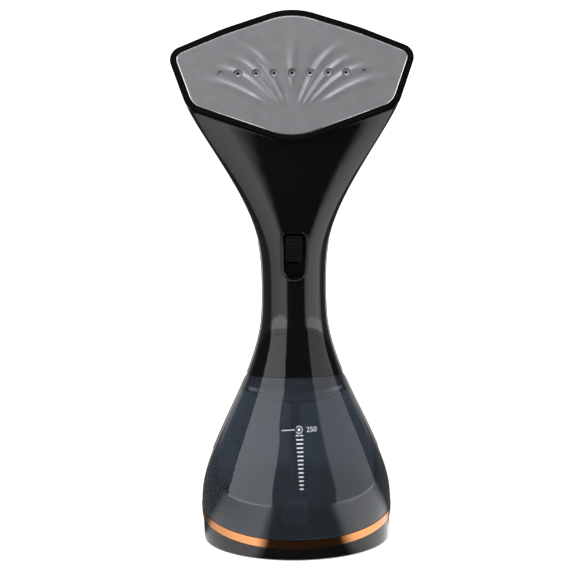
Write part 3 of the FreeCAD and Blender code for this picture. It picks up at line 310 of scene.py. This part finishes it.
def element_steel():
    """Drawn stainless tube, browned by heat."""
    return surface("drawn_steel_tube", "#8E8983", "#77716A", 0.5, (0.26, 0.4), 0.008,
                   Metallic=1.0)


def zinc_steel():
    """Zinc-plated steel: pale, slightly blotched."""
    return surface("zinc_plated_steel", "#B8BBC0", "#A2A6AD", 0.5, (0.2, 0.34), 0.008,
                   Metallic=1.0)


def nylon():
    """Moulded nylon: waxy white."""
    return surface("moulded_nylon", "#E2E0DA", "#D5D2CA", 0.7, (0.35, 0.48), 0.01, IOR=1.53)


def tube_plastic():
    """Extruded polyethylene tube: grey and waxy."""
    return surface("extruded_polyethylene", "#7E838A", "#6E737A", 1.2, (0.3, 0.42), 0.008,
                   IOR=1.51)


def filter_plastic():
    """Moulded polypropylene with a stone core: pale and dull."""
    return surface("moulded_polypropylene", "#D2CCC2", "#C4BDB2", 0.7, (0.4, 0.55), 0.02,
                   IOR=1.49)


def scale_ink():
    """Pad-printed ink: thin, flat and slightly grainy."""
    ink = settings("steamer_colours").scale
    return surface("pad_printed_ink", ink, deepen(ink), 0.25, (0.45, 0.6), 0.004, IOR=1.5)


def metallised_trim():
    """Vacuum-metallised ABS under tinted lacquer: a warm mirror with a faint haze."""
    trim = settings("steamer_colours").trim
    return surface("rose_gold_metallised_abs", trim, deepen(trim), 3.0, (0.11, 0.17), 0.003,
                   Metallic=1.0)


def plate_coating():
    """Non-stick coating sprayed on aluminium: satin grey with a fine sprayed grain."""
    return surface("sprayed_non_stick_coating", "#78787B", "#727275",
                   settings("steamer_plate").coat_grain / MM, (0.34, 0.42), 0.006,
                   **{"Metallic": 0.35, "IOR": 1.5})


def painted_edge_highlight():
    """Bright metal on the soleplate's rounded edge: a painted highlight along its rim."""
    return surface("painted_highlight_edge", "#E6E6E8", "#DADADC", 0.4, (0.24, 0.32), 0.002,
                   Metallic=1.0)


FLOW_MM = 26                # length of a flow mark in the tank's wall


def smoked_tank():
    """Smoked SAN, polished: the tint of the wall hides most of what is inside."""
    material, tree = new_material("smoked_moulded_san")
    place = add_node(tree, "ShaderNodeTexCoord")
    flow = add_node(tree, "ShaderNodeTexNoise",
                    {"Vector": (place, "Object"), "Scale": 1 / (FLOW_MM * MM), "Detail": 2.0})
    tint = add_node(tree, "ShaderNodeValToRGB", {"Fac": (flow, "Fac")})
    colour = tuple(settings("steamer_colours").tank)
    tint.color_ramp.elements[0].color = (*deepen(colour, 0.77), 1)
    tint.color_ramp.elements[1].color = (*colour, 1)
    relief = add_node(tree, "ShaderNodeBump",
                      {"Height": (flow, "Fac"), "Distance": 0.02 * MM, "Strength": 1.0})
    shader = add_node(tree, "ShaderNodeBsdfPrincipled",
                      {"Base Color": (tint, "Color"), "Normal": (relief, "Normal"),
                       "Roughness": 0.03, "IOR": 1.57, "Transmission Weight": 0.9})
    finish_material(tree, shader)
    return material


# --- Soleplate ------------------------------------------------------------------------------------

# Each flute by polar place round the fan's root: smallest angle from upright, distance at which it
# has that angle, how fast it then bends outwards, the distances where it rises and fades, in mm,
# and its share of the flute height.
FLUTES = (
    (0.0, 20.0, 0.0, 13.0, 46.0, 1.2),
    (24.8, 17.0, 0.0118, 6.0, 48.0, 1.0),
    (37.4, 19.0, 0.0125, 6.0, 48.0, 0.95),
    (48.3, 22.0, 0.0135, 9.0, 52.0, 0.75),
    (61.8, 26.0, 0.0085, 14.0, 56.0, 0.5),
)
FLUTE_RISE = 9              # a flute rises over this length, in mm
FLUTE_FADE = 22             # and fades over this one
FLUTE_FLAT = 1.0            # nothing rises nearer the root than this
FLUTE_WIDENS = (0.45, 40)   # share of the set width at the root, and the length that adds it whole
MIDDLE_WIDENS = (0.4, 32)   # the same for the middle flute, on top of that
VALLEY_OFF = 2.0            # valley beside a crest: how far off, how wide and how deep, by the
VALLEY_WIDE = 1.3           # flute's own width and height
VALLEY_DEEP = 0.45
NOZZLE_PITCH = 9.05
NOZZLE_COUNT = 7
NOZZLE_RISE = 0.8           # row of nozzles above the soleplate's middle
NOZZLE = ((2.4, 1.2), (2.4, 0.2), (2.12, -0.12), (1.95, -0.8), (1.1, -0.8), (0.72, -1.0),
          (0.72, -5.0))     # radius and height of each step, in mm, above the face
DIMPLE = ((1.7, 1.2), (1.7, 0.2), (1.45, -0.15), (1.3, -0.8), (0.25, -0.95))
CUTTER_SIDES = 48
RINGS = 150                 # steps from the soleplate's middle to its edge
FLAT_RINGS = 12             # steps inside the edge where the flutes have gone
SPOKES = 432                # steps round the soleplate
PLATE_BACK = 4.0
BACK_MARGIN = 2.0
EDGE = ((0.85, 0.0), (0.42, 0.1), (0.12, 0.36), (0.0, 0.8))   # rounded edge: inwards, down
PAINTED_HIGHLIGHT_STEPS = (RINGS, RINGS + 1)     # steps of the rounded edge that carry the painted highlight
PLATE_SHARP = 28            # degrees


def ease(value, start, end):
    """A smooth step from 0 at the start to 1 at the end."""
    share = min(max((value - start) / (end - start), 0.0), 1.0)
    return share * share * (3 - 2 * share)


def flute_height(across, up):
    """Relief of the fan of flutes, in millimetres, at a point in millimetres."""
    plate = settings("steamer_plate")
    rise = up + plate.root_drop / MM
    radius = math.hypot(across, rise)
    if radius < FLUTE_FLAT:
        return 0.0
    angle = math.degrees(math.atan2(abs(across), rise))
    total = 0.0
    for direction, middle, bend, start, end, share in FLUTES:
        line = direction + bend * (radius - middle) ** 2
        offset = math.radians(angle - line) * radius
        width = plate.flute_width / MM * (FLUTE_WIDENS[0] + radius / FLUTE_WIDENS[1])
        if direction == 0.0:
            width *= MIDDLE_WIDENS[0] + radius / MIDDLE_WIDENS[1]
        fade = ease(radius, start, start + FLUTE_RISE) * (1 - ease(radius, end - FLUTE_FADE, end))
        crest = math.exp(-(offset / width) ** 2)
        valley = math.exp(-((offset + VALLEY_OFF * width) / (VALLEY_WIDE * width)) ** 2)
        total += share * fade * (crest - VALLEY_DEEP * valley)
    return total * plate.flute_height / MM


def turned(mesh, profile, middle, segments):
    """Add a turned shape to a mesh; the profile is (radius, height) from the top down."""
    rings = []
    for radius, height in profile:
        ring = []
        for index in range(segments):
            angle = 2 * math.pi * index / segments
            ring.append(mesh.verts.new((middle[0] + radius * math.cos(angle),
                                        middle[1] + radius * math.sin(angle), height)))
        rings.append(ring)
    for upper, lower in zip(rings, rings[1:]):
        for index in range(segments):
            after = (index + 1) % segments
            mesh.faces.new((upper[index], lower[index], lower[after], upper[after]))
    mesh.faces.new(rings[0])
    mesh.faces.new(rings[-1][::-1])


def nozzle_cutters(name):
    """Everything that the seven nozzles and two end dimples take out of the soleplate."""
    mesh = bmesh.new()
    for index in range(NOZZLE_COUNT + 2):
        across = (index - (NOZZLE_COUNT + 1) / 2) * NOZZLE_PITCH
        shape = DIMPLE if index in (0, NOZZLE_COUNT + 1) else NOZZLE
        turned(mesh, shape, (across, NOZZLE_RISE), CUTTER_SIDES)
    bmesh.ops.scale(mesh, vec=(MM, MM, MM), verts=mesh.verts)
    bmesh.ops.recalc_face_normals(mesh, faces=mesh.faces)
    data = bpy.data.meshes.new(name)
    mesh.to_mesh(data)
    mesh.free()
    cutter = bpy.data.objects.new(name, data)
    bpy.context.scene.collection.objects.link(cutter)
    return cutter


def soleplate_mesh(plate):
    """The soleplate before its holes: rings from the middle to the outline, edge and back."""
    mesh = bmesh.new()
    angles = [2 * math.pi * index / SPOKES for index in range(SPOKES)]
    reaches = [plate.reach(angle) for angle in angles]
    rings = []
    for step in range(1, RINGS + 1):
        ring = []
        for angle, reach in zip(angles, reaches):
            radius = (reach - EDGE[0][0] * MM) * step / RINGS
            across, up = radius * math.cos(angle), radius * math.sin(angle)
            height = flute_height(across / MM, up / MM) * MM
            height *= 1 - ease(step, RINGS - FLAT_RINGS, RINGS)
            ring.append(mesh.verts.new((across, up, height)))
        rings.append(ring)
    for inwards, down in EDGE[1:] + ((0.0, PLATE_BACK), (BACK_MARGIN, PLATE_BACK)):
        ring = []
        for angle, reach in zip(angles, reaches):
            radius = reach - inwards * MM
            ring.append(mesh.verts.new((radius * math.cos(angle), radius * math.sin(angle),
                                        -down * MM)))
        rings.append(ring)
    middle = mesh.verts.new((0, 0, flute_height(0, 0) * MM))
    for index in range(SPOKES):
        mesh.faces.new((middle, rings[0][index], rings[0][(index + 1) % SPOKES]))
    for step, (inner, outer) in enumerate(zip(rings, rings[1:])):
        for index in range(SPOKES):
            after = (index + 1) % SPOKES
            face = mesh.faces.new((inner[index], outer[index], outer[after], inner[after]))
            # The rounded edge takes the bright metal of the painted highlight.
            face.material_index = 1 if step in PAINTED_HIGHLIGHT_STEPS else 0
    mesh.faces.new(rings[-1][::-1])
    bmesh.ops.recalc_face_normals(mesh, faces=mesh.faces)
    data = bpy.data.meshes.new("soleplate")
    mesh.to_mesh(data)
    mesh.free()
    return data


class SteamerPlate(bpy.types.Operator):
    """Build the fluted soleplate with its nozzles"""
    bl_idname = "steamer.plate"
    bl_label = "Soleplate"

    def execute(self, context):
        plate = PlateFrame()
        piece = mesh_object("fluted_soleplate", soleplate_mesh(plate), plate_coating())
        # Second material: the painted highlight on the soleplate's rounded edge.
        piece.data.materials.append(painted_edge_highlight())
        cutter = nozzle_cutters("nozzle_cutter")
        cut = piece.modifiers.new("nozzles", "BOOLEAN")
        cut.operation = "DIFFERENCE"
        cut.solver = "EXACT"
        cut.object = cutter
        context.view_layer.update()
        shown = piece.evaluated_get(context.evaluated_depsgraph_get())
        data = bpy.data.meshes.new_from_object(shown)
        piece.modifiers.clear()
        piece.data = data
        bpy.data.objects.remove(cutter)
        place = Matrix.Translation(plate.turn @ plate.middle) @ plate.turn.to_4x4()
        data.transform(place)
        smooth(data, PLATE_SHARP)
        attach(piece, "handle_unit")
        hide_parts("steam_plate")
        return {"FINISHED"}


# --- Level scale ----------------------------------------------------------------------------------

INK = 0.04 * MM             # print above the tank's wall
MARK_ACROSS = 1.25          # the full mark, in mm
MARK_RADIUS = 1.7
MARK_OPEN = 150             # the ring runs this far round to either side, in degrees
MARK_LINE = 0.36
DOT_RADIUS = 0.7
DOT_SIDES = 24
TICK = ((-7.6, 0.5), (-4.4, 0.25), (-0.9, 0.0))     # across, and down from the mark
TICK_LINE = 0.42
FIGURE_LEFT = 5.0
FIGURE_HEIGHT = 2.5
CAPITALS = 0.7              # height of a figure for a font size of 1
BAR_LEFT = (-0.4, 1.55)     # left end of the first bar, and how far the last one's is from it
BAR_RIGHT = (3.3, -0.2)


def surface_tree(name):
    """A carried-over part's surface, ready to be asked where a ray or the nearest point is."""
    mesh = NODES[name].data
    return BVHTree.FromPolygons([vertex.co for vertex in mesh.vertices],
                                [face.vertices for face in mesh.polygons])


def lay_on_tank(name, outlines, material):
    """Flat outlines seen from the front, laid on the tank's wall as thin print."""
    tree = surface_tree("tank")
    mesh = bmesh.new()
    for outline in outlines:
        corners = [mesh.verts.new((x * MM, 0, z * MM)) for x, z in outline]
        mesh.faces.new(corners)
    bmesh.ops.triangulate(mesh, faces=mesh.faces)
    for vertex in mesh.verts:
        start = Vector((vertex.co.x, -1, vertex.co.z))
        hit, normal, *_ = tree.ray_cast(start, Vector((0, 1, 0)))
        if hit is None:
            raise RuntimeError(f"{name} misses the tank")
        vertex.co = hit + normal * INK
    bmesh.ops.recalc_face_normals(mesh, faces=mesh.faces)
    for face in mesh.faces:
        if face.normal.y > 0:
            face.normal_flip()
    data = bpy.data.meshes.new(name)
    mesh.to_mesh(data)
    mesh.free()
    piece = mesh_object(name, data, material)
    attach(piece, "tank_unit")
    return piece


def band(points, width):
    """Four-cornered outlines along a line, together a band of one width."""
    outlines = []
    for (x0, z0), (x1, z1) in zip(points, points[1:]):
        length = math.hypot(x1 - x0, z1 - z0)
        side = Vector((z0 - z1, x1 - x0)) / length * width / 2
        outlines.append([(x0 + side.x, z0 + side.y), (x1 + side.x, z1 + side.y),
                         (x1 - side.x, z1 - side.y), (x0 - side.x, z0 - side.y)])
    return outlines


def arc(middle, radius, start, end, steps=40):
    """Points along an arc, from one angle in degrees to another."""
    points = []
    for index in range(steps + 1):
        angle = math.radians(start + (end - start) * index / steps)
        points.append((middle[0] + radius * math.cos(angle),
                       middle[1] + radius * math.sin(angle)))
    return points


def figure_outlines(text, x, z, height):
    """The figure's outlines from the built-in font, left edge at x, centred on z."""
    curve = bpy.data.curves.new("figure", "FONT")
    curve.body = text
    curve.size = height / CAPITALS * MM
    holder = bpy.data.objects.new("figure", curve)
    bpy.context.scene.collection.objects.link(holder)
    bpy.context.view_layer.update()
    mesh = bpy.data.meshes.new_from_object(
        holder.evaluated_get(bpy.context.evaluated_depsgraph_get()))
    outlines = []
    for face in mesh.polygons:
        corners = [mesh.vertices[index].co / MM for index in face.vertices]
        outlines.append([(x + corner.x, z - height / 2 + corner.y) for corner in corners])
    bpy.data.objects.remove(holder)
    bpy.data.meshes.remove(mesh)
    return outlines


class SteamerScale(bpy.types.Operator):
    """Print the level scale on the tank"""
    bl_idname = "steamer.scale"
    bl_label = "Level scale"

    def execute(self, context):
        scale = settings("steamer_scale")
        ink = scale_ink()
        top = scale.top / MM
        middle = (MARK_ACROSS, top)
        ring = band(arc(middle, MARK_RADIUS, -MARK_OPEN, MARK_OPEN), MARK_LINE)
        dot = [arc(middle, DOT_RADIUS, 0, 360, DOT_SIDES)[:-1]]
        line = band([(across, top - down) for across, down in TICK], TICK_LINE)
        lay_on_tank("full_mark", ring + dot + line, ink)
        figure = figure_outlines(scale.figure, FIGURE_LEFT, top, FIGURE_HEIGHT)
        lay_on_tank("full_figure", figure, ink)
        bars = []
        half = scale.thickness / MM / 2
        for index in range(scale.bars):
            share = index / (scale.bars - 1)
            height = (scale.first + (scale.last - scale.first) * share) / MM
            left = BAR_LEFT[0] + BAR_LEFT[1] * share
            right = BAR_RIGHT[0] + BAR_RIGHT[1] * share
            bars.append([(left, height - half), (right, height - half), (right, height + half),
                         (left, height + half)])
        lay_on_tank("level_bars", bars, ink)
        return {"FINISHED"}


# --- Carried-over parts ---------------------------------------------------------------------------

BEZEL_EDGE = 0.45           # broken edges, in mm
SWITCH_EDGE = 0.5


class SteamerHousing(bpy.types.Operator):
    """Finish the handle, head, base and switch mouldings"""
    bl_idname = "steamer.housing"
    bl_label = "Housing and switch"

    def execute(self, context):
        gloss = gloss_abs()
        give(gloss, "front_shell", "rear_shell", "base_cap")
        give(gloss, "head_bezel", bevel_mm=BEZEL_EDGE)
        give(gloss, "switch_frame", bevel_mm=SWITCH_EDGE)
        give(satin_abs(), "switch_knob", "switch_body", "tank_plug")
        give(rubber(), "base_pad", "cord_inlet", "pump_mounts")
        return {"FINISHED"}


SURROUND_SIDE = 6.7         # outline of the switch surround, in mm
SURROUND_TOP = 166.2
SURROUND_LOW = 147.6
SURROUND_CORNER = 3.2
SURROUND_FRONT = 18.6
CORNER_STEPS = 12
BEAD = 0.3                  # radius of the bead
BEAD_SHARP = 50             # degrees


def surround_outline():
    """The surround's outline from the front: rounded corners above, a half circle below."""
    side, corner = SURROUND_SIDE, SURROUND_CORNER
    upper = SURROUND_TOP - corner
    return (arc((side - corner, upper), corner, 0, 90, CORNER_STEPS)
            + arc((corner - side, upper), corner, 90, 180, CORNER_STEPS)
            + arc((0, SURROUND_LOW), side, 180, 360))


class SteamerSwitchBead(bpy.types.Operator):
    """Lay the polished bead round the switch"""
    bl_idname = "steamer.switch_bead"
    bl_label = "Switch bead"

    def execute(self, context):
        trees = [surface_tree(name) for name in ("front_shell", "switch_frame")]
        points = []
        for x, z in surround_outline():
            start = Vector((x * MM, -SURROUND_FRONT * MM, z * MM))
            nearest = [tree.find_nearest(start) for tree in trees]
            points.append(min(nearest, key=lambda found: found[3])[0])
        curve = bpy.data.curves.new("switch_bead", "CURVE")
        curve.dimensions = "3D"
        curve.bevel_depth = BEAD * MM
        curve.bevel_resolution = 3
        line = curve.splines.new("POLY")
        line.points.add(len(points) - 1)
        for point, place in zip(line.points, points):
            point.co = (*place, 1)
        line.use_cyclic_u = True
        holder = bpy.data.objects.new("switch_bead", curve)
        context.scene.collection.objects.link(holder)
        context.view_layer.update()
        data = bpy.data.meshes.new_from_object(
            holder.evaluated_get(context.evaluated_depsgraph_get()))
        bpy.data.objects.remove(holder)
        data.materials.clear()
        piece = mesh_object("switch_bead", data, gloss_abs())
        smooth(data, BEAD_SHARP)
        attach(piece, "handle_unit")
        return {"FINISHED"}


class SteamerTank(bpy.types.Operator):
    """Finish the smoked tank"""
    bl_idname = "steamer.tank"
    bl_label = "Tank"

    def execute(self, context):
        give(smoked_tank(), "tank")
        return {"FINISHED"}


class SteamerTrims(bpy.types.Operator):
    """Finish the metallised trims and ring"""
    bl_idname = "steamer.trims"
    bl_label = "Trims"

    def execute(self, context):
        give(metallised_trim(), "accent_ring", "tank_trim_left", "tank_trim_right",
             "handle_trim_left", "handle_trim_right")
        return {"FINISHED"}


class SteamerInside(bpy.types.Operator):
    """Finish the heater, pump, water path and screws"""
    bl_idname = "steamer.inside"
    bl_label = "Heater and water path"

    def execute(self, context):
        give(cast_aluminium(), "heater_block", "chamber_cover")
        give(element_steel(), "heating_element", "thermostat")
        give(zinc_steel(), "shell_screws", "heater_screws", "thermal_fuse")
        give(silicone(), "plate_gasket", "inlet_hose", "outlet_hose", "plug_seal", "vent_valve")
        give(nylon(), "pump_body")
        give(tube_plastic(), "dip_tube")
        give(filter_plastic(), "filter_weight")
        return {"FINISHED"}


# --- Studio ---------------------------------------------------------------------------------------

CAMERA_TURN = -0.768        # degrees from straight in front
CAMERA_RISE = 11.808        # degrees above level
CAMERA_ROLL = -0.66
CAMERA_RANGE = 1.4
CAMERA_TARGET = (-0.003089, 0.0, 0.133469)
SENSOR = 36.0               # width, in mm
LENS = 168.6925             # focal length, in mm
WORLD_LEVEL = 0.35
MIRROR_LEVEL = 0.03         # what polished pieces mirror in front of them
BEHIND = (0.72, 0.97)       # a direction's Y from which the world behind turns white in mirrors
WHITE = (*linear("#FFFFFF"), 1)
FLOOR_LIFT = 0.45           # glow of the floor at the object; it is 1 further out
FLOOR_FADE = (0.1, 0.9)     # distances between which it rises
FLOOR_RADIUS = 6.0
FLOOR_SIDES = 96
LAMP_AIM = (0, 0, 0.14)
# Painted reflections that polished pieces see in the floor: degrees round from the front, and how
# bright. Bright painted bands to the left and right stand in for the lamps' mirror images, with
# painted dark between them.
PAINTED_FLOOR_REFLECTIONS = ((-162, 1.1), (-150, 0.1), (-100, 0.1), (-88, 0.9), (-34, 1.6), (-24, 0.03),
                 (36, 0.02), (46, 1.2), (60, 1.6), (100, 1.5), (116, 0.1), (150, 0.1), (162, 1.1))
# Painted reflection brightness of the floor behind the object.
PAINTED_REFLECTION_BEHIND = 1.1
# name, azimuth from the front, height, distance, width, tall, watts
LAMPS = (
    ("left_low_softbox", -58.0, 0.08, 0.95, 1.1, 0.16, 0.9),
    ("left_softbox", -58.0, 0.39, 0.95, 1.1, 0.46, 2.6),
    ("left_high_softbox", -58.0, 0.86, 0.95, 1.1, 0.36, 5.0),
    ("right_low_softbox", 78.0, 0.08, 0.95, 1.2, 0.16, 0.55),
    ("right_softbox", 78.0, 0.39, 0.95, 1.2, 0.46, 1.6),
    ("top_softbox", 0.0, 1.4, 0.72, 1.0, 0.4, 18.0),
)


def studio_world(scene):
    """Even grey light; what is seen past the floor is white."""
    world = bpy.data.worlds.new("studio")
    scene.world = world
    world.use_nodes = True
    tree = world.node_tree
    tree.nodes.clear()
    rays = add_node(tree, "ShaderNodeLightPath")
    place = add_node(tree, "ShaderNodeTexCoord")
    split = add_node(tree, "ShaderNodeSeparateXYZ", {"Vector": (place, "Generated")})
    behind = add_node(tree, "ShaderNodeMapRange",
                      {"Value": (split, "Y"), "From Min": BEHIND[0], "From Max": BEHIND[1],
                       "To Min": 0.0, "To Max": 1.0})
    mirrored = add_node(tree, "ShaderNodeMath", {0: (behind, "Result"), 1: MIRROR_LEVEL},
                        operation="ADD")
    straight = add_node(tree, "ShaderNodeMath",
                        {0: (rays, "Is Camera Ray"), 1: (rays, "Is Transmission Ray")},
                        operation="MAXIMUM")
    soft = add_node(tree, "ShaderNodeMix",
                    {"Factor": (rays, "Is Glossy Ray"), "A": WORLD_LEVEL,
                     "B": (mirrored, "Value")})
    level = add_node(tree, "ShaderNodeMix",
                     {"Factor": (straight, "Value"), "A": (soft, "Result"), "B": 1.0})
    sky = add_node(tree, "ShaderNodeBackground",
                   {"Color": WHITE, "Strength": (level, "Result")})
    output = add_node(tree, "ShaderNodeOutputWorld")
    tree.links.new(sky.outputs[0], output.inputs["Surface"])


def floor_paper():
    """White paper sweep: matt, and bright enough to be the background; mirror rays see painted
    reflections in it.
    """
    material, tree = new_material("white_paper_sweep")
    place = add_node(tree, "ShaderNodeTexCoord")
    fibre = add_node(tree, "ShaderNodeTexNoise",
                     {"Vector": (place, "Object"), "Scale": 1 / (1.5 * MM), "Detail": 2.0})
    shade = add_node(tree, "ShaderNodeValToRGB", {"Fac": (fibre, "Fac")})
    shade.color_ramp.elements[0].color = (*linear("#F4F4F4"), 1)
    shade.color_ramp.elements[1].color = (*linear("#FAFAFA"), 1)
    paper = add_node(tree, "ShaderNodeBsdfDiffuse", {"Color": (shade, "Color")})
    rays = add_node(tree, "ShaderNodeLightPath")
    away = add_node(tree, "ShaderNodeVectorMath", {0: (place, "Object")}, operation="LENGTH")
    lift = add_node(tree, "ShaderNodeMapRange",
                    {"Value": (away, "Value"), "From Min": FLOOR_FADE[0],
                     "From Max": FLOOR_FADE[1], "To Min": FLOOR_LIFT, "To Max": 1.0})
    straight = add_node(tree, "ShaderNodeMath",
                        {0: (rays, "Is Camera Ray"), 1: (rays, "Is Transmission Ray")},
                        operation="MAXIMUM")
    lifted = add_node(tree, "ShaderNodeMath", {0: (lift, "Result"), 1: (straight, "Value")},
                      operation="MULTIPLY")
    glow = add_node(tree, "ShaderNodeEmission",
                    {"Color": WHITE, "Strength": (lifted, "Value")})
    whole = add_node(tree, "ShaderNodeAddShader")
    tree.links.new(paper.outputs[0], whole.inputs[0])
    tree.links.new(glow.outputs[0], whole.inputs[1])
    # Mirror rays see the floor glow in painted reflections: bright and dark bands by direction
    # round the object.
    split = add_node(tree, "ShaderNodeSeparateXYZ", {"Vector": (place, "Object")})
    front = add_node(tree, "ShaderNodeMath", {0: (split, "Y"), 1: -1.0}, operation="MULTIPLY")
    azimuth = add_node(tree, "ShaderNodeMath", {0: (split, "X"), 1: (front, "Value")},
                       operation="ARCTAN2")
    turn = add_node(tree, "ShaderNodeMapRange",
                    {"Value": (azimuth, "Value"), "From Min": -math.pi, "From Max": math.pi})
    painted_reflection_bands = add_node(tree, "ShaderNodeValToRGB", {"Fac": (turn, "Result")})
    for stop in painted_reflection_bands.color_ramp.elements:
        stop.color = (PAINTED_REFLECTION_BEHIND, PAINTED_REFLECTION_BEHIND, PAINTED_REFLECTION_BEHIND, 1)
    for degrees, level in PAINTED_FLOOR_REFLECTIONS:
        stop = painted_reflection_bands.color_ramp.elements.new((degrees + 180) / 360)
        stop.color = (level, level, level, 1)
    painted_reflection_glow = add_node(tree, "ShaderNodeEmission", {"Color": (painted_reflection_bands, "Color"), "Strength": 1.0})
    seen = add_node(tree, "ShaderNodeMixShader", {"Fac": (rays, "Is Glossy Ray")})
    tree.links.new(whole.outputs[0], seen.inputs[1])
    tree.links.new(painted_reflection_glow.outputs[0], seen.inputs[2])
    finish_material(tree, seen)
    return material


class SteamerStudio(bpy.types.Operator):
    """Set up the floor, lamps and camera"""
    bl_idname = "steamer.studio"
    bl_label = "Studio"

    def execute(self, context):
        scene = context.scene
        scene.view_settings.view_transform = "Standard"
        studio_world(scene)
        mesh = bmesh.new()
        bmesh.ops.create_circle(mesh, cap_ends=True, radius=FLOOR_RADIUS,
                                segments=FLOOR_SIDES)
        data = bpy.data.meshes.new("studio_floor")
        mesh.to_mesh(data)
        mesh.free()
        floor = mesh_object("studio_floor", data, floor_paper())
        for name, azimuth, height, distance, width, tall, watts in LAMPS:
            lamp = bpy.data.lights.new(name, "AREA")
            lamp.shape = "RECTANGLE"
            lamp.size, lamp.size_y = width, tall
            lamp.energy = watts
            holder = bpy.data.objects.new(name, lamp)
            scene.collection.objects.link(holder)
            turn = math.radians(azimuth)
            holder.location = (math.sin(turn) * distance, -math.cos(turn) * distance, height)
            aim = Vector(LAMP_AIM) - holder.location
            holder.rotation_euler = aim.to_track_quat("-Z", "Y").to_euler()
        self.camera(scene)
        return {"FINISHED"}

    def camera(self, scene):
        """Set up the camera by its angles round the target."""
        lens = bpy.data.cameras.new("camera")
        lens.sensor_width = SENSOR
        lens.lens = LENS
        lens.clip_start = 0.05
        lens.clip_end = 50.0
        camera = bpy.data.objects.new("camera", lens)
        scene.collection.objects.link(camera)
        turn, rise = math.radians(CAMERA_TURN), math.radians(CAMERA_RISE)
        back = Vector((math.sin(turn) * math.cos(rise), -math.cos(turn) * math.cos(rise),
                       math.sin(rise)))
        right = Vector((math.cos(turn), math.sin(turn), 0))
        up = back.cross(right)
        roll = math.radians(CAMERA_ROLL)
        across = right * math.cos(roll) + up * math.sin(roll)
        upwards = up * math.cos(roll) - right * math.sin(roll)
        place = Matrix((across, upwards, back)).transposed().to_4x4()
        place.translation = Vector(CAMERA_TARGET) + back * CAMERA_RANGE
        camera.matrix_world = place
        scene.camera = camera


class SteamerPanel(bpy.types.Panel):
    """The steamer's pieces and their settings"""
    bl_idname = "VIEW3D_PT_steamer"
    bl_label = "Garment steamer"
    bl_space_type = "VIEW_3D"
    bl_region_type = "UI"
    bl_category = "Steamer"

    def draw(self, context):
        for group in SETTINGS:
            box = self.layout.box()
            for name in SETTINGS[group].__annotations__:
                box.prop(settings(group), name)
        for operator in OPERATORS:
            self.layout.operator(operator.bl_idname)


SETTINGS = {
    "steamer_plate": SteamerPlateSettings,
    "steamer_scale": SteamerScaleSettings,
    "steamer_colours": SteamerColourSettings,
}
OPERATORS = (SteamerHousing, SteamerSwitchBead, SteamerTank, SteamerTrims, SteamerInside,
             SteamerPlate, SteamerScale, SteamerStudio)
CLASSES = (*SETTINGS.values(), *OPERATORS, SteamerPanel)


def register():
    for item in CLASSES:
        bpy.utils.register_class(item)
    for name, group in SETTINGS.items():
        setattr(bpy.types.Scene, name, PointerProperty(type=group))


def unregister():
    for name in SETTINGS:
        delattr(bpy.types.Scene, name)
    for item in reversed(CLASSES):
        bpy.utils.unregister_class(item)


def main():
    """Build everything."""
    register()
    for operator in OPERATORS:
        group, name = operator.bl_idname.split(".")
        getattr(getattr(bpy.ops, group), name)()


if __name__ == "__main__":
    main()
